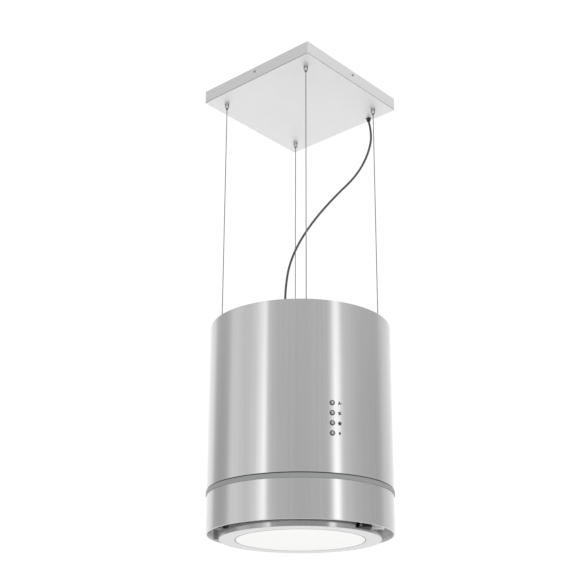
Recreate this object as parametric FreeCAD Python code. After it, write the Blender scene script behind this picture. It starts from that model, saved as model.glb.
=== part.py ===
import FreeCAD, Part
import math
import os

# Island range hood that hangs from a square ceiling canopy on four wires.
# Millimetres. The origin is the centre of the canopy on the ceiling plane, +Z is up,
# so the whole hood lies below z = 0. Azimuths are degrees from -Y towards +X.

# ---- overall layout
canopy_side = 306.0
canopy_height = 30.0
hood_drop = 574.0            # ceiling to the hood's top rim
hood_diameter = 380.0
upper_shell_height = 348.0
gasket_height = 2.0
light_ring_height = 9.0
skirt_height = 78.0
panel_proud = 9.0            # panel face below the skirt's edge
panel_diameter = 329.0
wire_spacing = 236.0         # side of the square that the four wires make

# ---- sheet and clearances
canopy_wall = 1.2
hood_wall = 1.0
sheet = 1.5
fit_gap = 0.3                # between parts that must stay apart
running_gap = 0.05           # radial gap of a sliding or turning fit
seat_gap = 0.2
lap = 1.0                    # how far joined pieces run into each other
cut_margin = 5.0             # how far a cutting rod runs past the wall it cuts

# ---- ceiling bracket and cover
bracket_sheet = 2.0
bracket_half_x = 106.0
bracket_half_y = 133.0
ceiling_hole_spacing = 160.0
ceiling_hole_radius = 3.5
supply_hole_radius = 25.0
foot_size = 30.0
tab_width = 30.0
tab_drop = 24.0
cover_screw_radius = 1.5
cover_screw_head_radius = 2.6
cover_screw_head_height = 0.9
cover_screw_tip = 4.0        # past the bracket's tab
cover_screw_depth = 10.0     # below the ceiling
socket_radius = 1.2
socket_depth = 0.6
terminal_size = (50.0, 20.0, 16.0)
terminal_y = 50.0
terminal_count = 3
terminal_pitch = 16.0
terminal_entry_radius = 3.0
terminal_entry_depth = 6.0
cover_edge_round = 1.0

# ---- wire grips
wire_radius = 1.0
grip_radius = 4.6
grip_straight = 7.5
grip_taper = 3.0
grip_tip_radius = 3.4
grip_neck_radius = 3.9
grip_neck_length = 12.0
grip_nut_flats = 12.0
grip_nut_height = 4.0
plunger_radius = 2.2
plunger_collar_radius = 2.7
plunger_length = 9.0
plunger_proud = 3.0
plunger_travel = 2.0
jaw_length = 5.0
jaw_taper = 0.7
jaw_radius = 2.6

# ---- supply cable: its route from the canopy's grommet to the hood's gland
cable_diameter = 5.0
grommet_drop = 6.0
cable_end_drop = 580.0
cable_route = [
    (144, -85, -36),
    (144, -85, -68),
    (149, -89, -104),
    (138, -79, -146),
    (113, -55, -187),
    (80, -25, -232),
    (50, 1, -287),
    (26, 22, -345),
    (7, 34, -405),
    (-4, 39, -466),
    (-8, 37, -528),
    (-8, 37, -580),
]
grommet_radius = 6.0
grommet_hole_radius = 4.5
grommet_flange = 2.0
grommet_bead = 1.5

# ---- top deck that the wires carry
deck_depth = 30.0            # below the hood's top rim
deck_sheet = 2.0
deck_edge_gap = 1.0
anchor_radius = 5.0
anchor_height = 14.0
anchor_taper = 3.0
anchor_top_radius = 3.0
anchor_bore_depth = 6.0
anchor_stud_radius = 3.0
anchor_stud_length = 10.0
anchor_nut_flats = 10.0
anchor_nut_height = 5.0
shell_bracket_width = 30.0
shell_bracket_reach = 22.0
shell_bracket_leg = 26.0
shell_bracket_sheet = 2.0
deck_screw_radius = 2.0
deck_screw_head_radius = 4.0
deck_screw_head_height = 2.4
gland_radius = 8.0
gland_tip_radius = 5.0
gland_thread_radius = 6.0
gland_thread_length = 12.0

# ---- blower
blower_width = 110.0
blower_drop = 144.0          # shaft below the deck's underside
blower_offset_y = 18.0
scroll_first_radius = 84.0
scroll_step = 12.0
tongue_inset = 25.0
inlet_radius = 58.0
impeller_radius = 72.0
impeller_inner_radius = 61.0
impeller_length = 96.0
blade_count = 36
blade_thickness = 1.0
blade_lean = 32.0
blade_fill = 0.9             # of the wheel's ring that a blade crosses
impeller_hub_radius = 12.0
impeller_hub_length = 10.0
impeller_disc_gap = 3.0
shaft_radius = 4.0
shaft_inset = 2.0
motor_radius = 36.0
motor_length = 76.0
motor_flutes = 12
motor_flute_radius = 1.5
motor_flute_inset = 8.0
spider_thickness = 3.0
spider_arms = 3
spider_arm_width = 10.0
spider_arm_overlap = 8.0
spider_hub_radius = 32.0
spider_bore_radius = 6.0
flange_reach = 10.0
flange_screw_inset = 15.0
grille_bar = 4.0
grille_height = 4.0
grille_slats = 9

# ---- charcoal cassettes
cassette_radius = 85.0
cassette_depth = 25.0
cassette_wall = 2.0
cassette_gap = 0.6           # to the blower's side plate
cassette_spokes = 8
cassette_spoke_width = 4.0
cassette_hub_radius = 21.6
charcoal_inset = 2.0
lug_count = 3
lug_span = 12.0
lug_reach = 5.0
lug_seat = 1.5               # lug above the blower's side plate
lug_thickness = 2.2
hook_span = 16.0
hook_post = 3.0
hook_gap = 1.0               # beyond the lug's reach
hook_lip = 2.0
hook_lip_gap = 1.5           # between the lip and the cassette's rim

# ---- push buttons and control unit
button_azimuth = -30.2
first_button_drop = 211.0    # below the hood's top rim
button_pitch = 20.0
button_count = 4
button_radius = 3.5
button_proud = 2.2
button_travel = 1.5
button_cap_depth = 3.5
button_stem_radius = 2.4
bezel_radius = 5.4
bezel_proud = 0.9
bezel_sleeve_radius = 4.5
bezel_tail = 3.0             # sleeve inside the shell
board_distance = 176.0       # from the hood's axis
board_width = 42.0
board_thickness = 1.6
board_margin = 18.0
switch_height = 3.5
switch_side = 6.0
relay_size = (12.0, 30.0, 24.0)
relay_rise = 6.0
cover_depth = 24.0
cover_wing = 8.0

# ---- LED driver
driver_size = (100.0, 40.0, 34.0)
driver_y = 128.0

# ---- joining band behind the light ring
ring_proud = 1.5
ring_depth = 4.0             # how far the ring and gasket reach inside the shell's outside
band_radius = 185.0
band_above = 18.0
band_below = 15.0
ring_edge_round = 0.8
strip_thickness = 0.8
strip_margin = 1.0
hem_depth = 1.5
hem_height = 8.0

# ---- filter deck, grease filter and its latch
filter_deck_inner = 148.0
filter_radius = 155.0
filter_depth = 12.0
filter_lip = 12.0
latch_width = 16.0
latch_thickness = 2.5
latch_length = 38.0
latch_gap = 2.0              # between the filter and its latch
latch_grip_thickness = 3.0
latch_grip_drop = 6.0
guide_wall = 2.0
keeper_width = 12.0
keeper_sheet = 2.0
keeper_reach = 8.0           # leg beyond the filter's rim
keeper_lip_gap = 1.5         # lip beyond the filter's rim
keeper_tab_reach = 6.0
keeper_spread = 9.0          # fixed keepers either side of the hinge, in degrees

# ---- panel, its hinge and its catches
hinge_azimuth = -135.0
hinge_distance = 162.0
hinge_rise = 15.0            # pin above the panel's face
pin_radius = 2.0
pin_tail = 1.0
pin_head_radius = 3.2
pin_head_height = 1.5
knuckle_radius = 4.0
web_width = 3.0
leaf_length = 30.0
leaf_notch = 6.0
leaf_sheet = 2.0
leaf_start = 44.0
knuckle_start = 50.0
knuckle_end = 57.5
lug_plate_start = 59.0
lug_plate_thickness = 2.5
lug_plate_inner = 157.0
lug_plate_outer = 174.0
lug_plate_drop = 5.0         # below the pin
lug_foot = 8.0
pan_depth = 18.0
pan_wall = 1.0
face_thickness = 3.0
diffuser_radius = 130.8
diffuser_gap = 0.5
support_inner = 127.5
support_outer = 134.0
led_board_radius = 122.0
led_spacer_height = 3.0
led_spacer_width = 4.0
led_size = 5.0
led_height = 1.0
led_rings = ((100.0, 24), (70.0, 16), (40.0, 8))
catch_plate_offset = 103.0   # across the hinge's mirror line
catch_plate_inner = 131.0
catch_plate_outer = 155.0
magnet_centre = (118.0, 132.5)
magnet_size = (18.0, 7.0, 15.0)
catch_drop = 3.0             # catches below the skirt's edge
catch_link_lap = 2.0
strike_sheet = 1.5
strike_inner_reach = 8.0
strike_width = 30.0

# ---- levels worked out from the sizes above
canopy_floor = -canopy_height
rim = -hood_drop
upper_shell_bottom = rim - upper_shell_height
ring_top = upper_shell_bottom - gasket_height
ring_bottom = ring_top - light_ring_height
skirt_bottom = ring_bottom - skirt_height
panel_face = skirt_bottom - panel_proud
pan_top = panel_face + pan_depth
pin_height = panel_face + hinge_rise
deck_top = rim - deck_depth
deck_bottom = deck_top - deck_sheet
band_top = upper_shell_bottom + band_above
band_bottom = ring_bottom - band_below
filter_deck_bottom = band_bottom - sheet
filter_bottom = filter_deck_bottom - filter_depth
latch_top = filter_bottom - latch_gap
latch_bottom = latch_top - latch_thickness
keeper_top = latch_bottom - fit_gap
catch_bottom = skirt_bottom - catch_drop
shaft_height = deck_bottom - blower_drop
hood_radius = hood_diameter / 2
shell_inner = hood_radius - hood_wall
panel_radius = panel_diameter / 2
wire_offset = wire_spacing / 2
wire_corners = [(-wire_offset, -wire_offset), (wire_offset, -wire_offset),
                (wire_offset, wire_offset), (-wire_offset, wire_offset)]
bracket_azimuths = (0.0, 90.0, 180.0, 270.0)
X_AXIS = FreeCAD.Vector(1, 0, 0)
Z_AXIS = FreeCAD.Vector(0, 0, 1)


def point(x, y, z):
    return FreeCAD.Vector(x, y, z)


def polar(azimuth, radius, z=0.0):
    angle = math.radians(azimuth)
    return point(radius * math.sin(angle), -radius * math.cos(angle), z)


def box(x0, x1, y0, y1, z0, z1):
    return Part.makeBox(x1 - x0, y1 - y0, z1 - z0, point(x0, y0, z0))


def rod(x, y, bottom, top, radius):
    return Part.makeCylinder(radius, top - bottom, point(x, y, bottom))


def ring(outer, inner, bottom, top):
    return rod(0, 0, bottom, top, outer).cut(rod(0, 0, bottom, top, inner))


def rod_x(x0, x1, y, z, radius):
    return Part.makeCylinder(radius, x1 - x0, point(x0, y, z), X_AXIS)


def cone(x, y, bottom, top, bottom_radius, top_radius):
    return Part.makeCone(bottom_radius, top_radius, top - bottom, point(x, y, bottom))


def hexagon(x, y, bottom, top, flats):
    corner = flats / math.sqrt(3)
    corners = [point(x + corner * math.cos(math.radians(60 * i)),
                     y + corner * math.sin(math.radians(60 * i)), bottom) for i in range(7)]
    return Part.Face(Part.makePolygon(corners)).extrude(point(0, 0, top - bottom))


def sector(outer, inner, bottom, top, azimuth, span):
    """A piece of a ring, span degrees wide, centred on an azimuth."""
    piece = Part.makeCylinder(outer, top - bottom, point(0, 0, bottom), Z_AXIS, span)
    piece = piece.cut(rod(0, 0, bottom, top, inner))
    piece.rotate(point(0, 0, 0), Z_AXIS, azimuth - span / 2 - 90)
    return piece


def turned(shape, azimuth):
    """Turns a shape drawn with its outward direction along +X to an azimuth."""
    result = shape.copy()
    result.rotate(point(0, 0, 0), Z_AXIS, azimuth - 90)
    return result


def mirrored_pair(build):
    """Two solids at plus and minus the same place across the hinge's mirror line."""
    first = build(1)
    second = build(-1)
    return Part.makeCompound([turned(first, hinge_azimuth), turned(second, hinge_azimuth)])


def side_box(side, u0, u1, t0, t1, z0, z1):
    """A box in the hinge's frame: u outward to the hinge, t across it on either side."""
    low, high = sorted((side * t0, side * t1))
    return box(u0, u1, low, high, z0, z1)


def side_rod(side, u, z, t0, t1, radius):
    low, high = sorted((side * t0, side * t1))
    return Part.makeCylinder(radius, high - low, point(u, low, z), point(0, 1, 0))


# ------------------------------------------------------------------ canopy

def canopy_cover():
    half = canopy_side / 2
    outer = box(-half, half, -half, half, canopy_floor, 0)
    all_but_top = [edge for edge in outer.Edges if edge.BoundBox.ZMin < -canopy_wall]
    outer = outer.makeFillet(cover_edge_round, all_but_top)
    inner = half - canopy_wall
    cover = outer.cut(box(-inner, inner, -inner, inner, canopy_floor + canopy_wall, 0))
    for x, y in wire_corners:
        cover = cover.cut(rod(x, y, canopy_floor, 0, grip_neck_radius + seat_gap))
    exit_x, exit_y = cable_route[0][:2]
    cover = cover.cut(rod(exit_x, exit_y, canopy_floor, 0, grommet_hole_radius))
    for azimuth in bracket_azimuths:
        cover = cover.cut(turned(rod_x(0, half, 0, -cover_screw_depth,
                                       cover_screw_radius + seat_gap), azimuth))
    return cover


def ceiling_bracket():
    inner = canopy_side / 2 - canopy_wall
    plate = box(-bracket_half_x, bracket_half_x, -bracket_half_y, bracket_half_y, -bracket_sheet, 0)
    for azimuth in bracket_azimuths:
        arm = box(0, inner, -tab_width / 2, tab_width / 2, -bracket_sheet, 0)
        tab = box(inner - bracket_sheet, inner, -tab_width / 2, tab_width / 2, -tab_drop, 0)
        plate = plate.fuse(turned(arm.fuse(tab), azimuth))
    foot_bottom = canopy_floor + canopy_wall
    for x, y in wire_corners:
        side_x = math.copysign(1, x)
        side_y = math.copysign(1, y)
        riser_x = sorted((side_x * (bracket_half_x - bracket_sheet), side_x * bracket_half_x))
        foot_x = sorted((side_x * (bracket_half_x - bracket_sheet), side_x * (abs(x) + foot_size / 2)))
        foot_y = sorted((side_y * (abs(y) - foot_size / 2), side_y * bracket_half_y))
        plate = plate.fuse(box(*riser_x, *foot_y, foot_bottom, 0))
        foot = box(*foot_x, *foot_y, foot_bottom, foot_bottom + bracket_sheet)
        plate = plate.fuse(foot.cut(rod(x, y, foot_bottom, 0, grip_neck_radius + seat_gap)))
    plate = plate.removeSplitter().cut(rod(0, 0, -bracket_sheet, 0, supply_hole_radius))
    for side_x in (-1, 1):
        for side_y in (-1, 1):
            plate = plate.cut(rod(side_x * ceiling_hole_spacing / 2, side_y * ceiling_hole_spacing / 2,
                                  -bracket_sheet, 0, ceiling_hole_radius))
    for azimuth in bracket_azimuths:
        plate = plate.cut(turned(rod_x(inner - bracket_sheet, inner, 0, -cover_screw_depth,
                                       cover_screw_radius), azimuth))
    return plate


def cover_screws():
    half = canopy_side / 2
    length = canopy_wall + bracket_sheet + cover_screw_tip
    head_end = half + cover_screw_head_height
    screws = []
    for azimuth in bracket_azimuths:
        shank = rod_x(half - length, half, 0, -cover_screw_depth, cover_screw_radius)
        head = rod_x(half, head_end, 0, -cover_screw_depth, cover_screw_head_radius)
        socket = rod_x(head_end - socket_depth, head_end, 0, -cover_screw_depth, socket_radius)
        screws.append(turned(shank.fuse(head).cut(socket), azimuth))
    return Part.makeCompound(screws)


def grip_levels():
    """Bottom of the barrel, shoulder of its taper, and top of its threaded neck."""
    shoulder = canopy_floor - grip_straight
    return shoulder - grip_taper, shoulder, canopy_floor + grip_neck_length


def jaw_levels():
    """The jaws sit above the plunger, with the plunger's travel between them."""
    bottom = grip_levels()[0] - plunger_proud + plunger_length + plunger_travel + fit_gap
    return bottom, bottom + jaw_length


def grip_barrels():
    bottom, shoulder, neck_top = grip_levels()
    jaw_bottom, jaw_top = jaw_levels()
    barrels = []
    for x, y in wire_corners:
        barrel = rod(x, y, shoulder, canopy_floor, grip_radius)
        barrel = barrel.fuse(cone(x, y, bottom, shoulder, grip_tip_radius, grip_radius))
        barrel = barrel.fuse(rod(x, y, canopy_floor, neck_top, grip_neck_radius))
        barrel = barrel.cut(rod(x, y, bottom, jaw_bottom, plunger_radius + running_gap))
        barrel = barrel.cut(cone(x, y, jaw_bottom, jaw_top, jaw_radius - jaw_taper / 2 + seat_gap,
                                 jaw_radius + jaw_taper / 2 + seat_gap))
        barrel = barrel.cut(rod(x, y, jaw_top, neck_top, wire_radius + fit_gap))
        barrels.append(barrel)
    return Part.makeCompound(barrels)


def grip_nuts():
    seat = canopy_floor + canopy_wall + bracket_sheet
    nuts = []
    for x, y in wire_corners:
        nut = hexagon(x, y, seat, seat + grip_nut_height, grip_nut_flats)
        nuts.append(nut.cut(rod(x, y, seat, seat + grip_nut_height, grip_neck_radius)))
    return Part.makeCompound(nuts)


def release_plunger(x, y):
    tip = grip_levels()[0] - plunger_proud
    top = tip + plunger_length
    collar = rod(x, y, tip, tip + plunger_proud - plunger_travel - fit_gap, plunger_collar_radius)
    plunger = rod(x, y, tip, top, plunger_radius).fuse(collar)
    return plunger.cut(rod(x, y, tip, top, wire_radius + fit_gap))


def gripping_jaws():
    bottom, top = jaw_levels()
    jaws = []
    for x, y in wire_corners:
        jaw = cone(x, y, bottom, top, jaw_radius - jaw_taper / 2, jaw_radius + jaw_taper / 2)
        jaws.append(jaw.cut(rod(x, y, bottom, top, wire_radius + running_gap)))
    return Part.makeCompound(jaws)


def suspension_wires():
    bottom = deck_top + anchor_height - anchor_bore_depth
    top = grip_levels()[2] + grip_nut_height
    return Part.makeCompound([rod(x, y, bottom, top, wire_radius) for x, y in wire_corners])


def canopy_grommet():
    x, y = cable_route[0][:2]
    inside = canopy_floor + canopy_wall
    body = rod(x, y, canopy_floor - grommet_drop, inside + grommet_flange, grommet_hole_radius)
    body = body.fuse(cone(x, y, canopy_floor - grommet_bead, canopy_floor,
                          grommet_hole_radius, grommet_radius))
    return body.fuse(rod(x, y, inside, inside + grommet_flange, grommet_radius))


def terminal_block():
    length, width, height = terminal_size
    bottom = -bracket_sheet - height
    block = box(-length / 2, length / 2, terminal_y - width / 2, terminal_y + width / 2,
                bottom, -bracket_sheet)
    for i in range(terminal_count):
        x = terminal_pitch * (i - (terminal_count - 1) / 2)
        block = block.cut(rod(x, terminal_y, bottom, bottom + terminal_entry_depth, terminal_entry_radius))
    return block


def supply_cable():
    """Straight runs joined by tangent arcs, swept with the cable's round section."""
    points = [point(*place) for place in cable_route]
    points[-1].z = -cable_end_drop
    edges = []
    start = points[0]
    radii = []
    for before, corner, after in zip(points, points[1:], points[2:]):
        arriving = (corner - before).normalize()
        leaving = (after - corner).normalize()
        half_turn = arriving.getAngle(leaving) / 2
        shorter = min((corner - before).Length, (after - corner).Length)
        radius = 0.45 * shorter / math.tan(half_turn)
        radii.append(round(radius, 1))
        reach = radius * math.tan(half_turn)
        arc_start = corner - arriving * reach
        arc_end = corner + leaving * reach
        inward = (leaving - arriving).normalize()
        middle = corner + inward * (radius / math.cos(half_turn) - radius)
        edges.append(Part.LineSegment(start, arc_start).toShape())
        edges.append(Part.Arc(arc_start, middle, arc_end).toShape())
        start = arc_end
    edges.append(Part.LineSegment(start, points[-1]).toShape())
    path = Part.Wire(edges)
    section = Part.Wire(Part.makeCircle(cable_diameter / 2, points[0], points[1] - points[0]))
    tube = path.makePipeShell([section], True, True)
    area = math.pi * cable_diameter ** 2 / 4
    print("cable radii", radii)
    print("cable length", round(path.Length, 1), "volume ratio", round(tube.Volume / (area * path.Length), 4))
    return tube


# ------------------------------------------------------------------ hood casing

def radial_rod(azimuth, z, near, far, radius):
    return turned(rod_x(near, far, 0, z, radius), azimuth)


def button_levels():
    return [rim - first_button_drop - button_pitch * i for i in range(button_count)]


def upper_shell():
    shell = ring(hood_radius, shell_inner, upper_shell_bottom, rim)
    shell = shell.fuse(ring(shell_inner, shell_inner - hem_depth, rim - hem_height, rim))
    for z in button_levels():
        shell = shell.cut(radial_rod(button_azimuth, z, shell_inner - cut_margin,
                                     hood_radius + cut_margin, bezel_sleeve_radius))
    return shell


def shadow_gasket():
    return ring(shell_inner, hood_radius - ring_depth, ring_top, upper_shell_bottom)


def light_ring():
    outer = hood_radius + ring_proud
    body = ring(outer, hood_radius - ring_depth, ring_bottom, ring_top)
    circles = [edge for edge in body.Edges if len(edge.Vertexes) == 1]
    outer_circles = [edge for edge in circles if edge.BoundBox.XMax > hood_radius]
    return body.makeFillet(ring_edge_round, outer_circles)


def lower_skirt():
    skirt = ring(hood_radius, shell_inner, skirt_bottom, ring_bottom)
    return skirt.fuse(ring(shell_inner, shell_inner - hem_depth, skirt_bottom, skirt_bottom + hem_height))


def joining_band():
    """A rolled channel that ties the upper shell, the light ring and the skirt together."""
    web = ring(band_radius, band_radius - sheet, band_bottom, band_top)
    for level in (band_bottom, band_top - sheet):
        web = web.fuse(ring(shell_inner, band_radius, level, level + sheet))
    return web


def ring_led_strip():
    outer = band_radius + strip_thickness
    return ring(outer, band_radius, ring_bottom + strip_margin, ring_top - strip_margin)


# ------------------------------------------------------------------ top deck

def outlet_edges():
    """The air outlet in the deck: half width in x, then its two ends in y."""
    left = blower_offset_y - scroll_step - (scroll_first_radius + 2 * scroll_step) + sheet
    right = blower_offset_y - tongue_inset - sheet
    return blower_width / 2 - sheet, left, right


def flange_screw_places():
    half, left, right = outlet_edges()
    x = half + sheet + flange_reach / 2
    ends = (left + flange_screw_inset, right - flange_screw_inset)
    return [(side * x, y) for side in (-1, 1) for y in ends]


def deck_plate():
    plate = rod(0, 0, deck_bottom, deck_top, shell_inner - hem_depth - deck_edge_gap)
    half, left, right = outlet_edges()
    plate = plate.cut(box(-half, half, left, right, deck_bottom, deck_top))
    for x, y in wire_corners:
        plate = plate.cut(rod(x, y, deck_bottom, deck_top, anchor_stud_radius + seat_gap))
    gland_x, gland_y = cable_route[-1][:2]
    plate = plate.cut(rod(gland_x, gland_y, deck_bottom, deck_top, gland_thread_radius + seat_gap))
    for azimuth in bracket_azimuths:
        place = polar(azimuth, shell_inner - shell_bracket_reach / 2)
        plate = plate.cut(rod(place.x, place.y, deck_bottom, deck_top, deck_screw_radius))
    for x, y in flange_screw_places():
        plate = plate.cut(rod(x, y, deck_bottom, deck_top, deck_screw_radius))
    return plate


def shell_brackets():
    span = math.degrees(shell_bracket_width / shell_inner)
    pieces = []
    for azimuth in bracket_azimuths:
        shelf = sector(shell_inner, shell_inner - shell_bracket_reach,
                       deck_bottom - shell_bracket_sheet, deck_bottom, azimuth, span)
        leg = sector(shell_inner, shell_inner - shell_bracket_sheet,
                     deck_bottom - shell_bracket_leg, deck_bottom, azimuth, span)
        place = polar(azimuth, shell_inner - shell_bracket_reach / 2)
        hole = rod(place.x, place.y, deck_bottom - shell_bracket_sheet, deck_bottom, deck_screw_radius)
        pieces.append(shelf.fuse(leg).cut(hole))
    return Part.makeCompound(pieces)


def pan_head_screw(x, y, seat, length):
    head = rod(x, y, seat, seat + deck_screw_head_height, deck_screw_head_radius)
    head = head.cut(rod(x, y, seat + deck_screw_head_height / 2, seat + deck_screw_head_height,
                        deck_screw_radius / 2))
    return head.fuse(rod(x, y, seat - length, seat, deck_screw_radius))


def deck_screws():
    length = deck_sheet + shell_bracket_sheet
    places = [polar(azimuth, shell_inner - shell_bracket_reach / 2) for azimuth in bracket_azimuths]
    screws = [pan_head_screw(place.x, place.y, deck_top, length) for place in places]
    screws += [pan_head_screw(x, y, deck_top, deck_sheet + sheet) for x, y in flange_screw_places()]
    return Part.makeCompound(screws)


def wire_anchors():
    anchors = []
    for x, y in wire_corners:
        top = deck_top + anchor_height
        head = rod(x, y, deck_top, top - anchor_taper, anchor_radius)
        head = head.fuse(cone(x, y, top - anchor_taper, top, anchor_radius, anchor_top_radius))
        head = head.fuse(rod(x, y, deck_top - anchor_stud_length, deck_top, anchor_stud_radius))
        anchors.append(head.cut(rod(x, y, top - anchor_bore_depth, top, wire_radius + fit_gap)))
    return Part.makeCompound(anchors)


def anchor_nuts():
    bottom = deck_bottom - anchor_nut_height
    nuts = []
    for x, y in wire_corners:
        nut = hexagon(x, y, bottom, deck_bottom, anchor_nut_flats)
        nuts.append(nut.cut(rod(x, y, bottom, deck_bottom, anchor_stud_radius)))
    return Part.makeCompound(nuts)


def cable_gland():
    x, y = cable_route[-1][:2]
    top = -cable_end_drop
    middle = (deck_top + top) / 2
    gland = hexagon(x, y, deck_top, middle, 2 * gland_radius)
    gland = gland.fuse(cone(x, y, middle, top, gland_radius, gland_tip_radius))
    return gland.fuse(rod(x, y, deck_top - gland_thread_length, deck_top, gland_thread_radius))


def outlet_grille():
    half, left, right = outlet_edges()
    top = deck_top + grille_height
    frame = box(-half - grille_bar, half + grille_bar, left - grille_bar, right + grille_bar, deck_top, top)
    frame = frame.cut(box(-half, half, left, right, deck_top, top))
    pitch = (right - left) / (grille_slats + 1)
    for i in range(grille_slats):
        y = left + pitch * (i + 1)
        frame = frame.fuse(box(-half, half, y - sheet / 2, y + sheet / 2, deck_top, top))
    for x, y in flange_screw_places():
        frame = frame.cut(rod(x, y, deck_top, top, deck_screw_head_radius + fit_gap))
    return frame


# ------------------------------------------------------------------ blower

def scroll_face(inset, top, x):
    """The scroll's outline in the plane of one x, moved inward by a wall thickness."""
    y0 = blower_offset_y
    z0 = shaft_height
    first = scroll_first_radius - inset
    second = first + scroll_step
    third = second + scroll_step
    right_y = y0 - tongue_inset - inset
    tongue_angle = math.acos((right_y - y0) / first)
    turns = [
        (y0, z0, first, tongue_angle, 0.0),
        (y0 - scroll_step, z0, second, 0.0, -math.pi / 2),
        (y0 - scroll_step, z0 + scroll_step, third, -math.pi / 2, -math.pi),
    ]

    def on_arc(centre_y, centre_z, radius, angle):
        return point(x, centre_y + radius * math.cos(angle), centre_z + radius * math.sin(angle))

    edges = []
    for centre_y, centre_z, radius, begin, end in turns:
        middle = (begin + end) / 2
        places = [on_arc(centre_y, centre_z, radius, angle) for angle in (begin, middle, end)]
        edges.append(Part.Arc(*places).toShape())
    tongue = on_arc(*turns[0][:3], tongue_angle)
    outer_end = on_arc(*turns[2][:3], -math.pi)
    top_left = point(x, outer_end.y, top)
    top_right = point(x, tongue.y, top)
    edges.append(Part.LineSegment(outer_end, top_left).toShape())
    edges.append(Part.LineSegment(top_left, top_right).toShape())
    edges.append(Part.LineSegment(top_right, tongue).toShape())
    return Part.Face(Part.Wire(edges))


def hook_outer():
    """Outer radius of the hooks that hold a cassette."""
    return cassette_radius + lug_reach + hook_gap + hook_post


def cassette_hooks(side):
    """L-shaped hooks round one inlet, which hold the cassette's bayonet lugs."""
    plate = side * blower_width / 2
    lip_near = plate + side * (lug_seat + lug_thickness + 2 * fit_gap)
    lip_far = lip_near + side * hook_lip
    post_low, post_high = sorted((plate, lip_far))
    lip_low, lip_high = sorted((lip_near, lip_far))
    hooks = []
    for i in range(lug_count):
        angle = 360 * i / lug_count
        post = inlet_sector(post_low, post_high, hook_outer(), hook_outer() - hook_post, angle, hook_span)
        lip = inlet_sector(lip_low, lip_high, hook_outer(), cassette_radius + hook_lip_gap, angle, hook_span)
        hooks.append(post.fuse(lip))
    return hooks


def inlet_sector(x0, x1, outer, inner, angle, span):
    """A piece of a ring about the blower's shaft, centred on an angle from +Z."""
    piece = Part.makeCylinder(outer, x1 - x0, point(0, 0, 0), Z_AXIS, span)
    piece = piece.cut(Part.makeCylinder(inner, x1 - x0))
    piece.rotate(point(0, 0, 0), Z_AXIS, angle - span / 2)
    piece.rotate(point(0, 0, 0), point(0, 1, 0), 90)
    piece.translate(point(x0, blower_offset_y, shaft_height))
    return piece


def blower_housing(side):
    half = blower_width / 2
    low, high = sorted((0, side * half))
    outer = scroll_face(0, deck_bottom, low).extrude(point(high - low, 0, 0))
    inner_low, inner_high = sorted((0, side * (half - sheet)))
    inner = scroll_face(sheet, deck_bottom, inner_low).extrude(point(inner_high - inner_low, 0, 0))
    housing = outer.cut(inner)
    housing = housing.cut(rod_x(low, high, blower_offset_y, shaft_height, inlet_radius))
    left, right = outlet_edges()[1:]
    flange_low, flange_high = sorted((side * half, side * (half + flange_reach)))
    flange = box(flange_low, flange_high, left - sheet, right + sheet, deck_bottom - sheet, deck_bottom)
    for x, y in flange_screw_places():
        flange = flange.cut(rod(x, y, deck_bottom - sheet, deck_bottom, deck_screw_radius))
    plate = side * half
    guard_low, guard_high = sorted((plate - side * sheet, plate))
    guard = inlet_sector(guard_low, guard_high, hook_outer(), inlet_radius, 0, 360)
    housing = housing.fuse(flange).fuse(guard)
    for hook in cassette_hooks(side):
        housing = housing.fuse(hook)
    return housing


def motor_end():
    """The motor's outer end face, on the spider at the left inlet."""
    return -blower_width / 2 + sheet + spider_thickness


def blower_motor():
    start = motor_end()
    can = rod_x(start, start + motor_length, blower_offset_y, shaft_height, motor_radius)
    for i in range(motor_flutes):
        angle = 2 * math.pi * i / motor_flutes
        y = blower_offset_y + motor_radius * math.cos(angle)
        z = shaft_height + motor_radius * math.sin(angle)
        can = can.cut(rod_x(start + motor_flute_inset, start + motor_length - motor_flute_inset,
                            y, z, motor_flute_radius))
    return can.cut(rod_x(start, start + motor_length, blower_offset_y, shaft_height,
                         shaft_radius + running_gap))


def motor_spider():
    start = motor_end() - spider_thickness
    end = motor_end()
    spider = rod_x(start, end, blower_offset_y, shaft_height, spider_hub_radius)
    for i in range(spider_arms):
        arm = box(start, end, -spider_arm_width / 2, spider_arm_width / 2,
                  0, inlet_radius + spider_arm_overlap)
        arm.rotate(point(0, 0, 0), X_AXIS, 360 * i / spider_arms)
        arm.translate(point(0, blower_offset_y, shaft_height))
        spider = spider.fuse(arm)
    return spider.cut(rod_x(start, end, blower_offset_y, shaft_height, spider_bore_radius))


def motor_shaft():
    start = motor_end() - spider_thickness / 2
    return rod_x(start, impeller_length / 2 - shaft_inset, blower_offset_y, shaft_height, shaft_radius)


def impeller():
    half = impeller_length / 2
    disc_at = motor_end() + motor_length + impeller_disc_gap
    y = blower_offset_y
    z = shaft_height
    wheel = rod_x(disc_at, disc_at + sheet, y, z, impeller_radius)
    wheel = wheel.fuse(rod_x(disc_at, disc_at + impeller_hub_length, y, z, impeller_hub_radius))
    for x in (-half, half - sheet):
        end_ring = rod_x(x, x + sheet, y, z, impeller_radius)
        wheel = wheel.fuse(end_ring.cut(rod_x(x, x + sheet, y, z, impeller_inner_radius)))
    middle = (impeller_radius + impeller_inner_radius) / 2
    chord = (impeller_radius - impeller_inner_radius) * blade_fill
    blades = []
    for i in range(blade_count):
        blade = box(-half, half, -chord / 2, chord / 2, -blade_thickness / 2, blade_thickness / 2)
        blade.rotate(point(0, 0, 0), X_AXIS, blade_lean)
        blade.translate(point(0, middle, 0))
        blade.rotate(point(0, 0, 0), X_AXIS, 360 * i / blade_count)
        blade.translate(point(0, y, z))
        blades.append(blade)
    return wheel.multiFuse(blades).cut(rod_x(-half, half, y, z, shaft_radius))


def cassette_span(side):
    """The cassette's face towards the blower and its outer face, in x."""
    near = side * (blower_width / 2 + cassette_gap)
    return near, near + side * cassette_depth


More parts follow.
